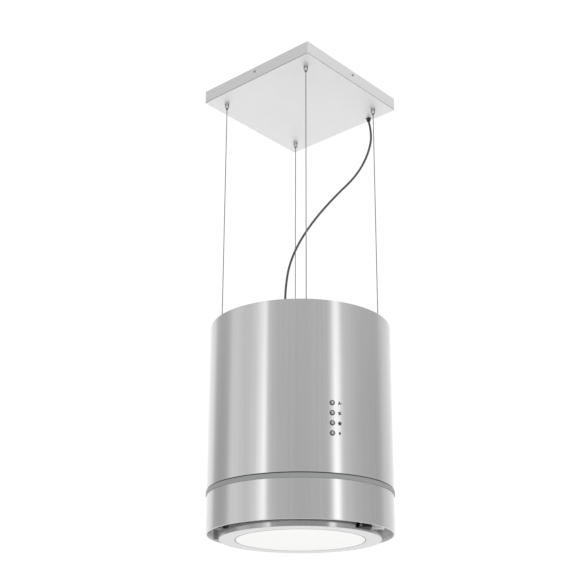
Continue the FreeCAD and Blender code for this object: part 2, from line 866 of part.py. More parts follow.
def cassette(side):
    near, far = cassette_span(side)
    low, high = sorted((near, far))
    y = blower_offset_y
    z = shaft_height
    frame = rod_x(low, high, y, z, cassette_radius).cut(
        rod_x(low, high, y, z, cassette_radius - cassette_wall))
    face_low, face_high = sorted((far, far - side * cassette_wall))
    frame = frame.fuse(rod_x(face_low, face_high, y, z, cassette_hub_radius))
    for i in range(cassette_spokes):
        spoke = box(face_low, face_high, -cassette_spoke_width / 2, cassette_spoke_width / 2,
                    cassette_hub_radius - lap, cassette_radius - lap)
        spoke.rotate(point(0, 0, 0), X_AXIS, 360 * (i + 0.5) / cassette_spokes)
        spoke.translate(point(0, y, z))
        frame = frame.fuse(spoke)
    lug_near = side * (blower_width / 2 + lug_seat)
    lug_low, lug_high = sorted((lug_near, lug_near + side * lug_thickness))
    for i in range(lug_count):
        frame = frame.fuse(inlet_sector(lug_low, lug_high, cassette_radius + lug_reach,
                                        cassette_radius - lap, 360 * i / lug_count, lug_span))
    return frame


def charcoal_pad(side):
    near, far = cassette_span(side)
    low, high = sorted((near + side * charcoal_inset, far - side * cassette_wall))
    y = blower_offset_y
    z = shaft_height
    return rod_x(low, high, y, z, cassette_radius - cassette_wall)


# ------------------------------------------------------------------ buttons and control unit

def button_bezels():
    bezels = []
    inside_shell = rod(0, 0, upper_shell_bottom, rim, hood_radius)
    tail = shell_inner - bezel_tail
    for z in button_levels():
        flange = radial_rod(button_azimuth, z, tail, hood_radius + bezel_proud, bezel_radius)
        flange = flange.cut(inside_shell)
        sleeve = radial_rod(button_azimuth, z, tail, hood_radius + bezel_proud / 2, bezel_sleeve_radius)
        bore = radial_rod(button_azimuth, z, shell_inner - cut_margin, hood_radius + cut_margin,
                          button_radius + fit_gap)
        bezels.append(flange.fuse(sleeve).cut(bore))
    return Part.makeCompound(bezels)


def push_button(z):
    switch_face = board_distance + board_thickness + switch_height
    stem_end = switch_face + button_travel + fit_gap
    cap_start = hood_radius - button_cap_depth
    cap = radial_rod(button_azimuth, z, cap_start, hood_radius + button_proud, button_radius)
    stem = radial_rod(button_azimuth, z, stem_end, cap_start + lap, button_stem_radius)
    return cap.fuse(stem)


def board_levels():
    levels = button_levels()
    return levels[-1] - board_margin, levels[0] + board_margin


def control_board():
    bottom, top = board_levels()
    half = board_width / 2
    board = box(board_distance, board_distance + board_thickness, -half, half, bottom, top)
    switch_end = board_distance + board_thickness + switch_height
    reach = switch_side / 2
    for z in button_levels():
        board = board.fuse(box(board_distance, switch_end, -reach, reach, z - reach, z + reach))
    depth, width, height = relay_size
    relay_bottom = bottom + relay_rise
    relay = box(board_distance - depth, board_distance, -width / 2, width / 2,
                relay_bottom, relay_bottom + height)
    return turned(board.fuse(relay), button_azimuth)


def board_cover():
    """A tray round the board's back, with a foot and a web on each side that reach the shell."""
    bottom, top = board_levels()
    half = board_width / 2 + sheet
    back = board_distance - cover_depth
    tray = box(back, board_distance, -half, half, bottom - sheet, top + sheet)
    tray = tray.cut(box(back + sheet, board_distance, -half + sheet, half - sheet, bottom, top))
    for side in (-1, 1):
        foot = side_box(side, board_distance - sheet, board_distance, half, half + cover_wing, bottom, top)
        web = side_box(side, board_distance - sheet, shell_inner + cut_margin, half, half + sheet,
                       bottom, top)
        tray = tray.fuse(foot).fuse(web)
    return turned(tray, button_azimuth).common(rod(0, 0, bottom - sheet, top + sheet, shell_inner))


def led_driver():
    length, width, height = driver_size
    return box(-length / 2, length / 2, driver_y - width / 2, driver_y + width / 2,
               deck_bottom - height, deck_bottom)


# ------------------------------------------------------------------ filter

def keeper_places():
    """Azimuths of the three keepers: the latch's, then the two fixed ones by the hinge."""
    return [hinge_azimuth + 180, hinge_azimuth - keeper_spread, hinge_azimuth + keeper_spread]


def filter_deck():
    deck = ring(shell_inner - fit_gap, filter_deck_inner, filter_deck_bottom, band_bottom)
    bottom = keeper_top - keeper_sheet
    leg_start = filter_radius + keeper_reach
    leg_end = leg_start + keeper_sheet
    half = keeper_width / 2
    for azimuth in keeper_places():
        leg = box(leg_start, leg_end, -half, half, bottom, filter_deck_bottom)
        lip = box(filter_radius + keeper_lip_gap, leg_end, -half, half, bottom, keeper_top)
        deck = deck.fuse(turned(leg.fuse(lip), azimuth))
    return deck


def filter_frame():
    """A channel ring with two fixed tabs by the hinge and the latch's guide opposite."""
    frame = ring(filter_radius, filter_radius - sheet, filter_bottom, filter_deck_bottom)
    inner = filter_radius - filter_lip
    for level in (filter_bottom, filter_deck_bottom - sheet):
        frame = frame.fuse(ring(filter_radius, inner, level, level + sheet))
    for azimuth in keeper_places()[1:]:
        tab = box(inner, filter_radius + keeper_tab_reach, -keeper_width / 2, keeper_width / 2,
                  latch_bottom, filter_bottom)
        frame = frame.fuse(turned(tab, azimuth))
    channel_half = latch_width / 2 + fit_gap
    guide_half = channel_half + guide_wall
    guide = box(inner, filter_radius, -guide_half, guide_half, keeper_top - sheet, filter_bottom)
    channel = box(inner, filter_radius, -channel_half, channel_half, keeper_top, latch_top + fit_gap)
    return frame.fuse(turned(guide.cut(channel), keeper_places()[0]))


def filter_mesh():
    return rod(0, 0, filter_bottom + sheet, filter_deck_bottom - sheet, filter_radius - sheet - seat_gap)


def filter_latch():
    outer = filter_radius + keeper_tab_reach
    inner = outer - latch_length
    half = latch_width / 2
    bar = box(inner, outer, -half, half, latch_bottom, latch_top)
    grip = box(inner, inner + latch_grip_thickness, -half, half, latch_bottom - latch_grip_drop, latch_top)
    return turned(bar.fuse(grip), keeper_places()[0])


# ------------------------------------------------------------------ panel hinge and catches

def hinge_lugs():
    def lug(side):
        end = lug_plate_start + lug_plate_thickness
        plate = side_box(side, lug_plate_inner, lug_plate_outer, lug_plate_start, end,
                         pin_height - lug_plate_drop, filter_deck_bottom)
        foot = side_box(side, lug_plate_inner, lug_plate_outer, lug_plate_start - lug_foot, end,
                        filter_deck_bottom - sheet, filter_deck_bottom)
        hole = side_rod(side, hinge_distance, pin_height, lug_plate_start, end, pin_radius)
        return plate.fuse(foot).cut(hole)
    return mirrored_pair(lug)


def hinge_pins():
    def pin(side):
        seat = lug_plate_start + lug_plate_thickness
        end = seat + pin_head_height
        shank = side_rod(side, hinge_distance, pin_height, knuckle_start - pin_tail, end, pin_radius)
        head = side_rod(side, hinge_distance, pin_height, seat, end, pin_head_radius)
        return shank.fuse(head)
    return mirrored_pair(pin)


def hinge_leaves():
    def leaf(side):
        top = pan_top + leaf_sheet
        plate = side_box(side, hinge_distance - leaf_length, hinge_distance, leaf_start, knuckle_end,
                         pan_top, top)
        plate = plate.cut(side_box(side, hinge_distance - leaf_notch, hinge_distance, leaf_start,
                                   knuckle_start, pan_top, top))
        knuckle = side_rod(side, hinge_distance, pin_height, knuckle_start, knuckle_end, knuckle_radius)
        web = side_box(side, hinge_distance - web_width, hinge_distance, knuckle_start, knuckle_end,
                       pin_height, top)
        bore = side_rod(side, hinge_distance, pin_height, knuckle_start, knuckle_end,
                        pin_radius + running_gap)
        return plate.fuse(knuckle).fuse(web).cut(bore)
    return mirrored_pair(leaf)


def catch_plates():
    """Angle plates from the filter deck down beside the panel, and the arms for the magnets."""
    def plate(side):
        upright = side_box(side, -catch_plate_outer, -catch_plate_inner, catch_plate_offset,
                           catch_plate_offset + sheet, catch_bottom, filter_deck_bottom)
        u, t = magnet_centre
        length, width, height = magnet_size
        magnet_top = catch_bottom + height
        arm = side_box(side, -u - length / 2, -u + length / 2, catch_plate_offset,
                       t + width / 2, magnet_top, magnet_top + sheet)
        link = side_box(side, -catch_plate_inner - catch_link_lap, -u, catch_plate_offset,
                        catch_plate_offset + width, magnet_top, magnet_top + sheet)
        return upright.fuse(arm).fuse(link)
    return mirrored_pair(plate)


def catch_magnets():
    def magnet(side):
        u, t = magnet_centre
        length, width, height = magnet_size
        return side_box(side, -u - length / 2, -u + length / 2, t - width / 2, t + width / 2,
                        catch_bottom, catch_bottom + height)
    return mirrored_pair(magnet)


def strike_plates():
    """Small shelves on the pan's wall that the magnets pull on."""
    def strike(side):
        u, t = magnet_centre
        length, width = magnet_size[:2]
        top = catch_bottom - fit_gap
        shelf = side_box(side, -u - length / 2, -u + length / 2 + strike_inner_reach,
                         t - width / 2 - strike_width, t + width / 2, top - strike_sheet, top)
        return shelf.cut(rod(0, 0, panel_face, pan_top, panel_radius))
    return mirrored_pair(strike)


# ------------------------------------------------------------------ panel

def panel_pan():
    pan = ring(panel_radius, panel_radius - pan_wall, panel_face, pan_top)
    return pan.fuse(rod(0, 0, pan_top - pan_wall, pan_top, panel_radius))


def face_ring():
    return ring(panel_radius - pan_wall - seat_gap, diffuser_radius + diffuser_gap,
                panel_face, panel_face + face_thickness)


def panel_support_ring():
    return ring(support_outer, support_inner, panel_face + face_thickness, pan_top - pan_wall)


def light_diffuser():
    return rod(0, 0, panel_face, panel_face + face_thickness, diffuser_radius)


def led_board():
    top = pan_top - pan_wall - led_spacer_height
    bottom = top - board_thickness
    board = rod(0, 0, bottom, top, led_board_radius)
    spacer = ring(led_board_radius, led_board_radius - led_spacer_width, top, pan_top - pan_wall)
    chips = []
    for radius, count in led_rings:
        for i in range(count):
            place = polar(360 * i / count, radius)
            chips.append(box(place.x - led_size / 2, place.x + led_size / 2, place.y - led_size / 2,
                             place.y + led_size / 2, bottom - led_height, bottom))
    return board.fuse(spacer).multiFuse(chips)


# ------------------------------------------------------------------ every node

def all_nodes():
    nodes = {
        "canopy_cover": canopy_cover(),
        "ceiling_bracket": ceiling_bracket(),
        "cover_screws": cover_screws(),
        "grip_barrels": grip_barrels(),
        "grip_nuts": grip_nuts(),
        "gripping_jaws": gripping_jaws(),
        "canopy_grommet": canopy_grommet(),
        "terminal_block": terminal_block(),
        "supply_cable": supply_cable(),
        "suspension_wires": suspension_wires(),
        "upper_shell": upper_shell(),
        "shadow_gasket": shadow_gasket(),
        "light_ring": light_ring(),
        "lower_skirt": lower_skirt(),
        "joining_band": joining_band(),
        "ring_led_strip": ring_led_strip(),
        "deck_plate": deck_plate(),
        "shell_brackets": shell_brackets(),
        "deck_screws": deck_screws(),
        "wire_anchors": wire_anchors(),
        "anchor_nuts": anchor_nuts(),
        "cable_gland": cable_gland(),
        "outlet_grille": outlet_grille(),
        "blower_housing_left": blower_housing(-1),
        "blower_housing_right": blower_housing(1),
        "blower_motor": blower_motor(),
        "motor_spider": motor_spider(),
        "motor_shaft": motor_shaft(),
        "impeller": impeller(),
        "cassette_left": cassette(-1),
        "charcoal_left": charcoal_pad(-1),
        "cassette_right": cassette(1),
        "charcoal_right": charcoal_pad(1),
        "button_bezels": button_bezels(),
        "control_board": control_board(),
        "board_cover": board_cover(),
        "led_driver": led_driver(),
        "filter_deck": filter_deck(),
        "filter_frame": filter_frame(),
        "filter_mesh": filter_mesh(),
        "filter_latch": filter_latch(),
        "hinge_lugs": hinge_lugs(),
        "hinge_pins": hinge_pins(),
        "catch_plates": catch_plates(),
        "catch_magnets": catch_magnets(),
        "panel_pan": panel_pan(),
        "hinge_leaves": hinge_leaves(),
        "strike_plates": strike_plates(),
        "face_ring": face_ring(),
        "panel_support_ring": panel_support_ring(),
        "light_diffuser": light_diffuser(),
        "led_board": led_board(),
    }
    for number, (x, y) in enumerate(wire_corners, 1):
        nodes["release_plunger_" + str(number)] = release_plunger(x, y)
    for number, z in enumerate(button_levels(), 1):
        nodes["button_" + str(number)] = push_button(z)
    return nodes


os.makedirs("parts", exist_ok=True)
for name, shape in all_nodes().items():
    shape.exportStep("parts/" + name + ".step")
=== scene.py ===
import bpy
import bmesh
import math
from mathutils import Matrix, Vector


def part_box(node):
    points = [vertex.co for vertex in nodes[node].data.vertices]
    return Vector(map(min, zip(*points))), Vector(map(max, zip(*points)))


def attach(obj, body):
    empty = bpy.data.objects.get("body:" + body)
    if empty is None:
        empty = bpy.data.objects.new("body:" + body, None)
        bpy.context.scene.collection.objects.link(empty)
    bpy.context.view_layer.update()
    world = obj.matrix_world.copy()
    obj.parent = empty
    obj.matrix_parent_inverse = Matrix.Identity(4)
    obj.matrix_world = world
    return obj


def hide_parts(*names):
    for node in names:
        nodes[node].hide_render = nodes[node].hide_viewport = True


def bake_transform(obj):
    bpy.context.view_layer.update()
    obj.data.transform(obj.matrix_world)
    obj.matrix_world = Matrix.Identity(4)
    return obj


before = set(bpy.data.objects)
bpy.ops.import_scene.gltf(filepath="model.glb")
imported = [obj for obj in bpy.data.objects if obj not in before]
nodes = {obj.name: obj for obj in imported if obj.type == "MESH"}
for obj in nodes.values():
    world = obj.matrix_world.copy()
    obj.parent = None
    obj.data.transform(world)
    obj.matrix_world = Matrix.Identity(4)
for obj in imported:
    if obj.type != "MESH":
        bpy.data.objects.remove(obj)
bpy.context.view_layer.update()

# ---------------------------------------------------------------- places taken from the frame
CANOPY_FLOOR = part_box("canopy_cover")[0].z
SHELL_LOW, SHELL_HIGH = (corner.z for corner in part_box("upper_shell"))
SKIRT_LOW, SKIRT_HIGH = (corner.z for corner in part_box("lower_skirt"))
PANEL_LOW, PANEL_HIGH = (corner.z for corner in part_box("panel_pan"))
HOOD_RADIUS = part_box("upper_shell")[1].x
WIRE_RADIUS = 0.001
WIRE_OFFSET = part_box("suspension_wires")[1].x - WIRE_RADIUS
WIRE_LOW, WIRE_HIGH = (corner.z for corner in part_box("suspension_wires"))
BUTTON_AZIMUTH = -30.2
SEAM_AZIMUTH = 131.0
FLOOR_Z = SKIRT_LOW - 1.9                       # the studio's floor
CORNERS = ((-1, -1), (1, -1), (1, 1), (-1, 1))  # signs of X and Y at four corners, in turn
UP = Vector((0, 0, 1))


def polar(azimuth, radius, z=0.0):
    """Azimuth in degrees from -Y towards +X."""
    angle = math.radians(azimuth)
    return Vector((radius * math.sin(angle), -radius * math.cos(angle), z))


def radial_frame(azimuth, radius, z):
    """A frame whose Z axis points outward at an azimuth and whose Y axis points up."""
    outward = polar(azimuth, 1.0)
    side = UP.cross(outward)
    place = outward * radius
    return Matrix(((side.x, UP.x, outward.x, place.x), (side.y, UP.y, outward.y, place.y),
                   (side.z, UP.z, outward.z, z), (0, 0, 0, 1)))


# ---------------------------------------------------------------- camera
CAMERA_AZIMUTH = -49.0
CAMERA_DISTANCE = 2.303      # from the hood's axis
CAMERA_Z = SKIRT_LOW - 0.393
CAMERA_PITCH = 18.88
CAMERA_LENS = 71.33
CAMERA_SHIFT = (-0.0179, 0.1034)
CAMERA_SENSOR = 36.0
CAMERA_REACH = 60.0          # beyond the surround


def add_camera():
    data = bpy.data.cameras.new("view")
    data.lens = CAMERA_LENS
    data.sensor_width = CAMERA_SENSOR
    data.shift_x, data.shift_y = CAMERA_SHIFT
    data.clip_end = CAMERA_REACH
    camera = bpy.data.objects.new("view", data)
    bpy.context.scene.collection.objects.link(camera)
    camera.location = polar(CAMERA_AZIMUTH, CAMERA_DISTANCE, CAMERA_Z)
    camera.rotation_euler = (math.radians(90 + CAMERA_PITCH), 0, math.radians(CAMERA_AZIMUTH))
    bpy.context.scene.camera = camera


add_camera()


# ---------------------------------------------------------------- mesh helpers
ROUND_STEPS = 256        # facets round the hood
MERGE_DISTANCE = 1e-7
EDGE_SHARE = 0.45        # the most of an edge that one rounded corner may take


def link(name, mesh, material=None, smooth=True):
    piece = bpy.data.objects.new(name, mesh)
    bpy.context.scene.collection.objects.link(piece)
    if material:
        mesh.materials.append(material)
    for polygon in mesh.polygons:
        polygon.use_smooth = smooth
    return piece


def mesh_from(name, vertices, faces):
    mesh = bpy.data.meshes.new(name)
    mesh.from_pydata([tuple(v) for v in vertices], [], faces)
    mesh.update()
    return mesh


def lathe(name, profile, material, segments=ROUND_STEPS, closed=True, sharp=35.0,
          centre=(0.0, 0.0)):
    """Turns a profile of (radius, z) points about a vertical axis."""
    vertices = []
    for i in range(segments):
        angle = 2 * math.pi * i / segments
        for radius, z in profile:
            vertices.append((centre[0] + radius * math.cos(angle),
                             centre[1] + radius * math.sin(angle), z))
    count = len(profile)
    last = count if closed else count - 1
    faces = []
    for i in range(segments):
        a = i * count
        b = (i + 1) % segments * count
        for k in range(last):
            m = (k + 1) % count
            faces.append((a + k, b + k, b + m, a + m))
    mesh = mesh_from(name, vertices, faces)
    clean = bmesh.new()
    clean.from_mesh(mesh)
    bmesh.ops.remove_doubles(clean, verts=clean.verts, dist=MERGE_DISTANCE)
    bmesh.ops.recalc_face_normals(clean, faces=clean.faces)
    clean.to_mesh(mesh)
    clean.free()
    piece = link(name, mesh, material)
    mesh.set_sharp_from_angle(angle=math.radians(sharp))
    return piece


def rounded(points, radius, steps=4):
    """A closed profile with its corners rounded by arcs."""
    result = []
    count = len(points)
    for i in range(count):
        before, corner, after = (Vector(points[(i + k - 1) % count]) for k in range(3))
        to_before = before - corner
        to_after = after - corner
        reach = min(radius, to_before.length * EDGE_SHARE, to_after.length * EDGE_SHARE)
        start = corner + to_before.normalized() * reach
        end = corner + to_after.normalized() * reach
        for k in range(steps + 1):
            t = k / steps
            result.append(tuple((1 - t) ** 2 * start + 2 * t * (1 - t) * corner + t ** 2 * end))
    return result


def tube(name, path, radius, material, sides):
    """A tube that follows a list of points."""
    points = [Vector(p) for p in path]
    tangents = []
    for i in range(len(points)):
        low = points[max(i - 1, 0)]
        high = points[min(i + 1, len(points) - 1)]
        tangents.append((high - low).normalized())
    normal = tangents[0].orthogonal().normalized()
    vertices = []
    for place, tangent in zip(points, tangents):
        normal = (normal - tangent * normal.dot(tangent)).normalized()
        side = tangent.cross(normal)
        for k in range(sides):
            angle = 2 * math.pi * k / sides
            vertices.append(place + (normal * math.cos(angle) + side * math.sin(angle)) * radius)
    faces = []
    for i in range(len(points) - 1):
        for k in range(sides):
            m = (k + 1) % sides
            faces.append((i * sides + k, i * sides + m, (i + 1) * sides + m, (i + 1) * sides + k))
    faces.append(tuple(reversed(range(sides))))
    faces.append(tuple(range((len(points) - 1) * sides, len(points) * sides)))
    return link(name, mesh_from(name, vertices, faces), material)


# ---------------------------------------------------------------- node material helpers
def new_material(name):
    material = bpy.data.materials.new(name)
    material.use_nodes = True
    tree = material.node_tree
    shader = tree.nodes["Principled BSDF"]
    return material, tree, shader


def node(tree, kind, **settings):
    made = tree.nodes.new(kind)
    for key, value in settings.items():
        setattr(made, key, value)
    return made


NOISE_ROUGHNESS = 0.6


def stretched_noise(tree, scale, stretch, detail):
    """Noise in the object's own coordinates, stretched by a factor on each axis."""
    coordinates = node(tree, "ShaderNodeTexCoord")
    mapping = node(tree, "ShaderNodeMapping")
    mapping.inputs["Scale"].default_value = stretch
    noise = node(tree, "ShaderNodeTexNoise")
    noise.inputs["Scale"].default_value = scale
    noise.inputs["Detail"].default_value = detail
    noise.inputs["Roughness"].default_value = NOISE_ROUGHNESS
    tree.links.new(coordinates.outputs["Object"], mapping.inputs["Vector"])
    tree.links.new(mapping.outputs["Vector"], noise.inputs["Vector"])
    return noise


def ramp(tree, source, low, high, start, end):
    """Colour ramp from low to high between two positions of a source value."""
    made = node(tree, "ShaderNodeValToRGB")
    made.color_ramp.elements[0].position = start
    made.color_ramp.elements[1].position = end
    made.color_ramp.elements[0].color = low
    made.color_ramp.elements[1].color = high
    tree.links.new(source, made.inputs["Fac"])
    return made


def grey(value):
    return (value, value, value, 1.0)


def varied_grey(tree, source, value, low, high, span):
    """Grey that runs with a source from a low to a high share of its value."""
    return ramp(tree, source, grey(value * low), grey(value * high), *span).outputs["Color"]


def glow(material, strength):
    """A faint white light of the surface's own."""
    shader = material.node_tree.nodes["Principled BSDF"]
    shader.inputs["Emission Color"].default_value = grey(1.0)
    shader.inputs["Emission Strength"].default_value = strength


def add_bump(tree, shader, source, strength, distance):
    bump = node(tree, "ShaderNodeBump")
    bump.inputs["Strength"].default_value = strength
    bump.inputs["Distance"].default_value = distance
    tree.links.new(source, bump.inputs["Height"])
    tree.links.new(bump.outputs["Normal"], shader.inputs["Normal"])


def mixed(tree, first, second, share):
    """Two noises mixed, with a share of the second."""
    mix = node(tree, "ShaderNodeMix", data_type="FLOAT")
    mix.inputs["Factor"].default_value = share
    tree.links.new(first, mix.inputs["A"])
    tree.links.new(second, mix.inputs["B"])
    return mix.outputs["Result"]


MIX_SHARE, MIX_FIRST, MIX_SECOND, MIX_RESULT = 0, 6, 7, 2    # a colour mix node's sockets, by place


def faded(tree, share, colour, target):
    """A colour that goes over into a fixed one as its share rises."""
    mix = node(tree, "ShaderNodeMix", data_type="RGBA")
    mix.inputs[MIX_SECOND].default_value = target
    tree.links.new(share, mix.inputs[MIX_SHARE])
    tree.links.new(colour, mix.inputs[MIX_FIRST])
    return mix.outputs[MIX_RESULT]


EVEN = (1, 1, 1)                  # no stretch
NOISE_MIDDLE = (0.3, 0.7)         # the part of a noise's range that is spread over a ramp
BRUSH_MIDDLE = (0.35, 0.65)
BRUSH_LINES = (1500.0, (1.0, 1.0, 0.012), 2.0)    # scale, stretch and detail
BRUSH_STREAKS = (260.0, (1.0, 1.0, 0.006), 3.0)
BRUSH_CLOUDS = (9.0, (1.0, 1.0, 0.3), 2.0)
BRUSH_GRAIN = 0.022               # change of tone to either side
BRUSH_ROUGH = (0.92, 1.08)        # shares of the roughness between which it varies
BRUSH_ANISOTROPY = 0.7
BRUSH_TURN = 0.25                 # highlights run up the wall
STREAK_SHARE = 0.6
CLOUD_SHARE = 0.25
SATIN_LINES = (420.0, (0.05, 1.0, 0.3), 3.0)
SATIN_CLOUDS = (7.0, (1.0, 1.0, 1.0), 2.0)
SATIN_TONE = (0.99, 1.01)
SATIN_ROUGH = (0.46, 0.60)
SATIN_BUMP = 0.05
METAL_DETAIL = 5.0
METAL_ROUGH = (0.8, 1.25)
METAL_BUMP_DEPTH = 0.0003
PLASTIC_DETAIL = 3.0
PLASTIC_ROUGH = (0.85, 1.15)
SOFT_BUMP_DEPTH = 0.0002
CHROME_CLOUDS = (300.0, EVEN, 2.0)
CHROME_ROUGH = (0.06, 0.10)
RIM_BLEND = 0.5
RIM_START, RIM_END = 0.10, 0.50   # where the painted dark reflection at small bright parts' outlines sets in


def brushed_shell_material(name, tone, roughness):
    """Sheet steel with a fine upright grain, wider faint streaks and soft upright highlights."""
    material, tree, shader = new_material(name)
    fine = stretched_noise(tree, *BRUSH_LINES)
    streak = stretched_noise(tree, *BRUSH_STREAKS)
    cloud = stretched_noise(tree, *BRUSH_CLOUDS)
    brushed = mixed(tree, fine.outputs["Fac"], streak.outputs["Fac"], STREAK_SHARE)
    drift = mixed(tree, brushed, cloud.outputs["Fac"], CLOUD_SHARE)
    colour = ramp(tree, drift, grey(tone - BRUSH_GRAIN), grey(tone + BRUSH_GRAIN), *BRUSH_MIDDLE)
    rough = varied_grey(tree, cloud.outputs["Fac"], roughness, *BRUSH_ROUGH, NOISE_MIDDLE)
    tangent = node(tree, "ShaderNodeTangent", direction_type="RADIAL", axis="Z")
    tree.links.new(colour.outputs["Color"], shader.inputs["Base Color"])
    tree.links.new(rough, shader.inputs["Roughness"])
    tree.links.new(tangent.outputs["Tangent"], shader.inputs["Tangent"])
    shader.inputs["Metallic"].default_value = 1.0
    shader.inputs["Anisotropic"].default_value = BRUSH_ANISOTROPY
    shader.inputs["Anisotropic Rotation"].default_value = BRUSH_TURN
    return material


def face_shade_painted_sheet_material(name, flat, painted_x_side_level, painted_y_side_level):
    """Satin sheet folded from one piece; its sides that face along X and along Y get darker tones than
    its flat faces: painted shade.
    """
    material, tree, shader = new_material(name)
    grain = stretched_noise(tree, *SATIN_LINES)
    cloud = stretched_noise(tree, *SATIN_CLOUDS)
    coordinates = node(tree, "ShaderNodeTexCoord")
    parts = node(tree, "ShaderNodeSeparateXYZ")
    tree.links.new(coordinates.outputs["Normal"], parts.inputs["Vector"])
    tone = varied_grey(tree, cloud.outputs["Fac"], flat, *SATIN_TONE, NOISE_MIDDLE)
    # painted shade: each side's tone follows how far it faces along X or Y
    for axis, level in (("X", painted_x_side_level), ("Y", painted_y_side_level)):
        square = node(tree, "ShaderNodeMath", operation="MULTIPLY")
        tree.links.new(parts.outputs[axis], square.inputs[0])
        tree.links.new(parts.outputs[axis], square.inputs[1])
        tone = faded(tree, square.outputs["Value"], tone, grey(level))
    rough = ramp(tree, grain.outputs["Fac"], grey(SATIN_ROUGH[0]), grey(SATIN_ROUGH[1]), *NOISE_MIDDLE)
    tree.links.new(tone, shader.inputs["Base Color"])
    tree.links.new(rough.outputs["Color"], shader.inputs["Roughness"])
    shader.inputs["Metallic"].default_value = 1.0
    add_bump(tree, shader, grain.outputs["Fac"], SATIN_BUMP, SOFT_BUMP_DEPTH)
    return material


def metal_material(name, tone, roughness, scale, grain, bump=0.05, metallic=1.0):
    """Plain metal whose tone and roughness vary a little."""
    material, tree, shader = new_material(name)
    noise = stretched_noise(tree, scale, EVEN, METAL_DETAIL)
    colour = ramp(tree, noise.outputs["Fac"], grey(tone - grain), grey(tone + grain), *NOISE_MIDDLE)
    rough = varied_grey(tree, noise.outputs["Fac"], roughness, *METAL_ROUGH, NOISE_MIDDLE)
    tree.links.new(colour.outputs["Color"], shader.inputs["Base Color"])
    tree.links.new(rough, shader.inputs["Roughness"])
    shader.inputs["Metallic"].default_value = metallic
    add_bump(tree, shader, noise.outputs["Fac"], bump, METAL_BUMP_DEPTH)
    return material


def painted_dark_rim_chrome_material(name, face, rim):
    """Polished metal whose colour darkens towards its outline: painted dark reflection, like that which
    small bright parts show in a white room.
    """
    material, tree, shader = new_material(name)
    weight = node(tree, "ShaderNodeLayerWeight")
    weight.inputs["Blend"].default_value = RIM_BLEND
    colour = ramp(tree, weight.outputs["Facing"], grey(face), grey(rim), RIM_START, RIM_END)
    cloud = stretched_noise(tree, *CHROME_CLOUDS)
    rough = ramp(tree, cloud.outputs["Fac"], grey(CHROME_ROUGH[0]), grey(CHROME_ROUGH[1]),
                 *NOISE_MIDDLE)
    tree.links.new(colour.outputs["Color"], shader.inputs["Base Color"])
    tree.links.new(rough.outputs["Color"], shader.inputs["Roughness"])
    shader.inputs["Metallic"].default_value = 1.0
    return material


def plastic_material(name, low, high, roughness, scale=400.0, bump=0.15):
    """Moulded or painted surface between two colours."""
    material, tree, shader = new_material(name)
    noise = stretched_noise(tree, scale, EVEN, PLASTIC_DETAIL)
    colour = ramp(tree, noise.outputs["Fac"], (*low, 1.0), (*high, 1.0), *NOISE_MIDDLE)
    rough = varied_grey(tree, noise.outputs["Fac"], roughness, *PLASTIC_ROUGH, NOISE_MIDDLE)
    tree.links.new(colour.outputs["Color"], shader.inputs["Base Color"])
    tree.links.new(rough, shader.inputs["Roughness"])
    add_bump(tree, shader, noise.outputs["Fac"], bump, SOFT_BUMP_DEPTH)
    return material


STEEL = brushed_shell_material("shell_steel", 0.50, 0.20)
# painted light: the inside steel is paler than the outside and glows faintly, standing in for light
# reaching the inner wall
INNER_STEEL_PAINTED_LIGHT = metal_material("shell_inside_painted_light", 0.86, 0.6, 50.0, 0.03, metallic=0.15)
glow(INNER_STEEL_PAINTED_LIGHT, 0.08)
PAN_STEEL = brushed_shell_material("pan_steel", 0.33, 0.10)
# painted shade: the canopy's X-facing sides are painted much darker and its Y-facing sides a little
# darker than its underside
CANOPY_STEEL = face_shade_painted_sheet_material("canopy_satin", 0.80, 0.58, 0.76)
# painted shadow: the dark tone of the strip along the canopy's fold
FOLD_SHADOW = metal_material("fold_shadow", 0.16, 0.6, 200.0, 0.03)
CHROME = metal_material("polished", 0.62, 0.06, 30.0, 0.02, bump=0.01)
# painted dark reflection towards the outlines of the grips and plunger tips
GRIP_CHROME = painted_dark_rim_chrome_material("grip_chrome", 0.62, 0.02)
ZINC = metal_material("zinc_plate", 0.48, 0.42, 35.0, 0.10)
BRIGHT_ZINC = metal_material("bright_zinc", 0.80, 0.5, 60.0, 0.03)
DARK_STEEL = metal_material("blackened_steel", 0.05, 0.6, 200.0, 0.015)
SCREW = metal_material("plain_screw", 0.30, 0.38, 300.0, 0.05)
BUTTON_STEEL = metal_material("button_steel", 0.34, 0.18, 90.0, 0.02, bump=0.01)
BEZEL_METAL = metal_material("bezel_dark", 0.12, 0.3, 200.0, 0.02)
WIRE = metal_material("wire_strand", 0.25, 0.35, 500.0, 0.06)
MOTOR = metal_material("cast_motor", 0.40, 0.5, 120.0, 0.06, bump=0.2)
ALUMINIUM = metal_material("filter_aluminium", 0.62, 0.3, 80.0, 0.05)
BLACK_RUBBER = plastic_material("black_rubber", (0.012, 0.012, 0.012), (0.03, 0.03, 0.03), 0.7)
MATT_BLACK = plastic_material("matt_black", (0.004, 0.004, 0.004), (0.010, 0.010, 0.010), 0.95)
ICON_INK = plastic_material("icon_ink", (0.02, 0.02, 0.02), (0.035, 0.035, 0.035), 0.6)
BLACK_PLASTIC = plastic_material("black_plastic", (0.012, 0.012, 0.014), (0.028, 0.028, 0.03), 0.42)
GREY_PLASTIC = plastic_material("grey_plastic", (0.20, 0.21, 0.22), (0.26, 0.27, 0.28), 0.5)
CABLE = plastic_material("cable_sheath", (0.045, 0.045, 0.05), (0.085, 0.085, 0.09), 0.5, 900.0)
CHARCOAL = plastic_material("charcoal_grains", (0.008, 0.008, 0.008), (0.05, 0.05, 0.05), 0.9, 260.0, 0.9)
BOARD = plastic_material("circuit_board", (0.01, 0.08, 0.03), (0.02, 0.13, 0.05), 0.3)
WHITE_BOARD = plastic_material("white_board", (0.72, 0.72, 0.70), (0.80, 0.80, 0.78), 0.45)
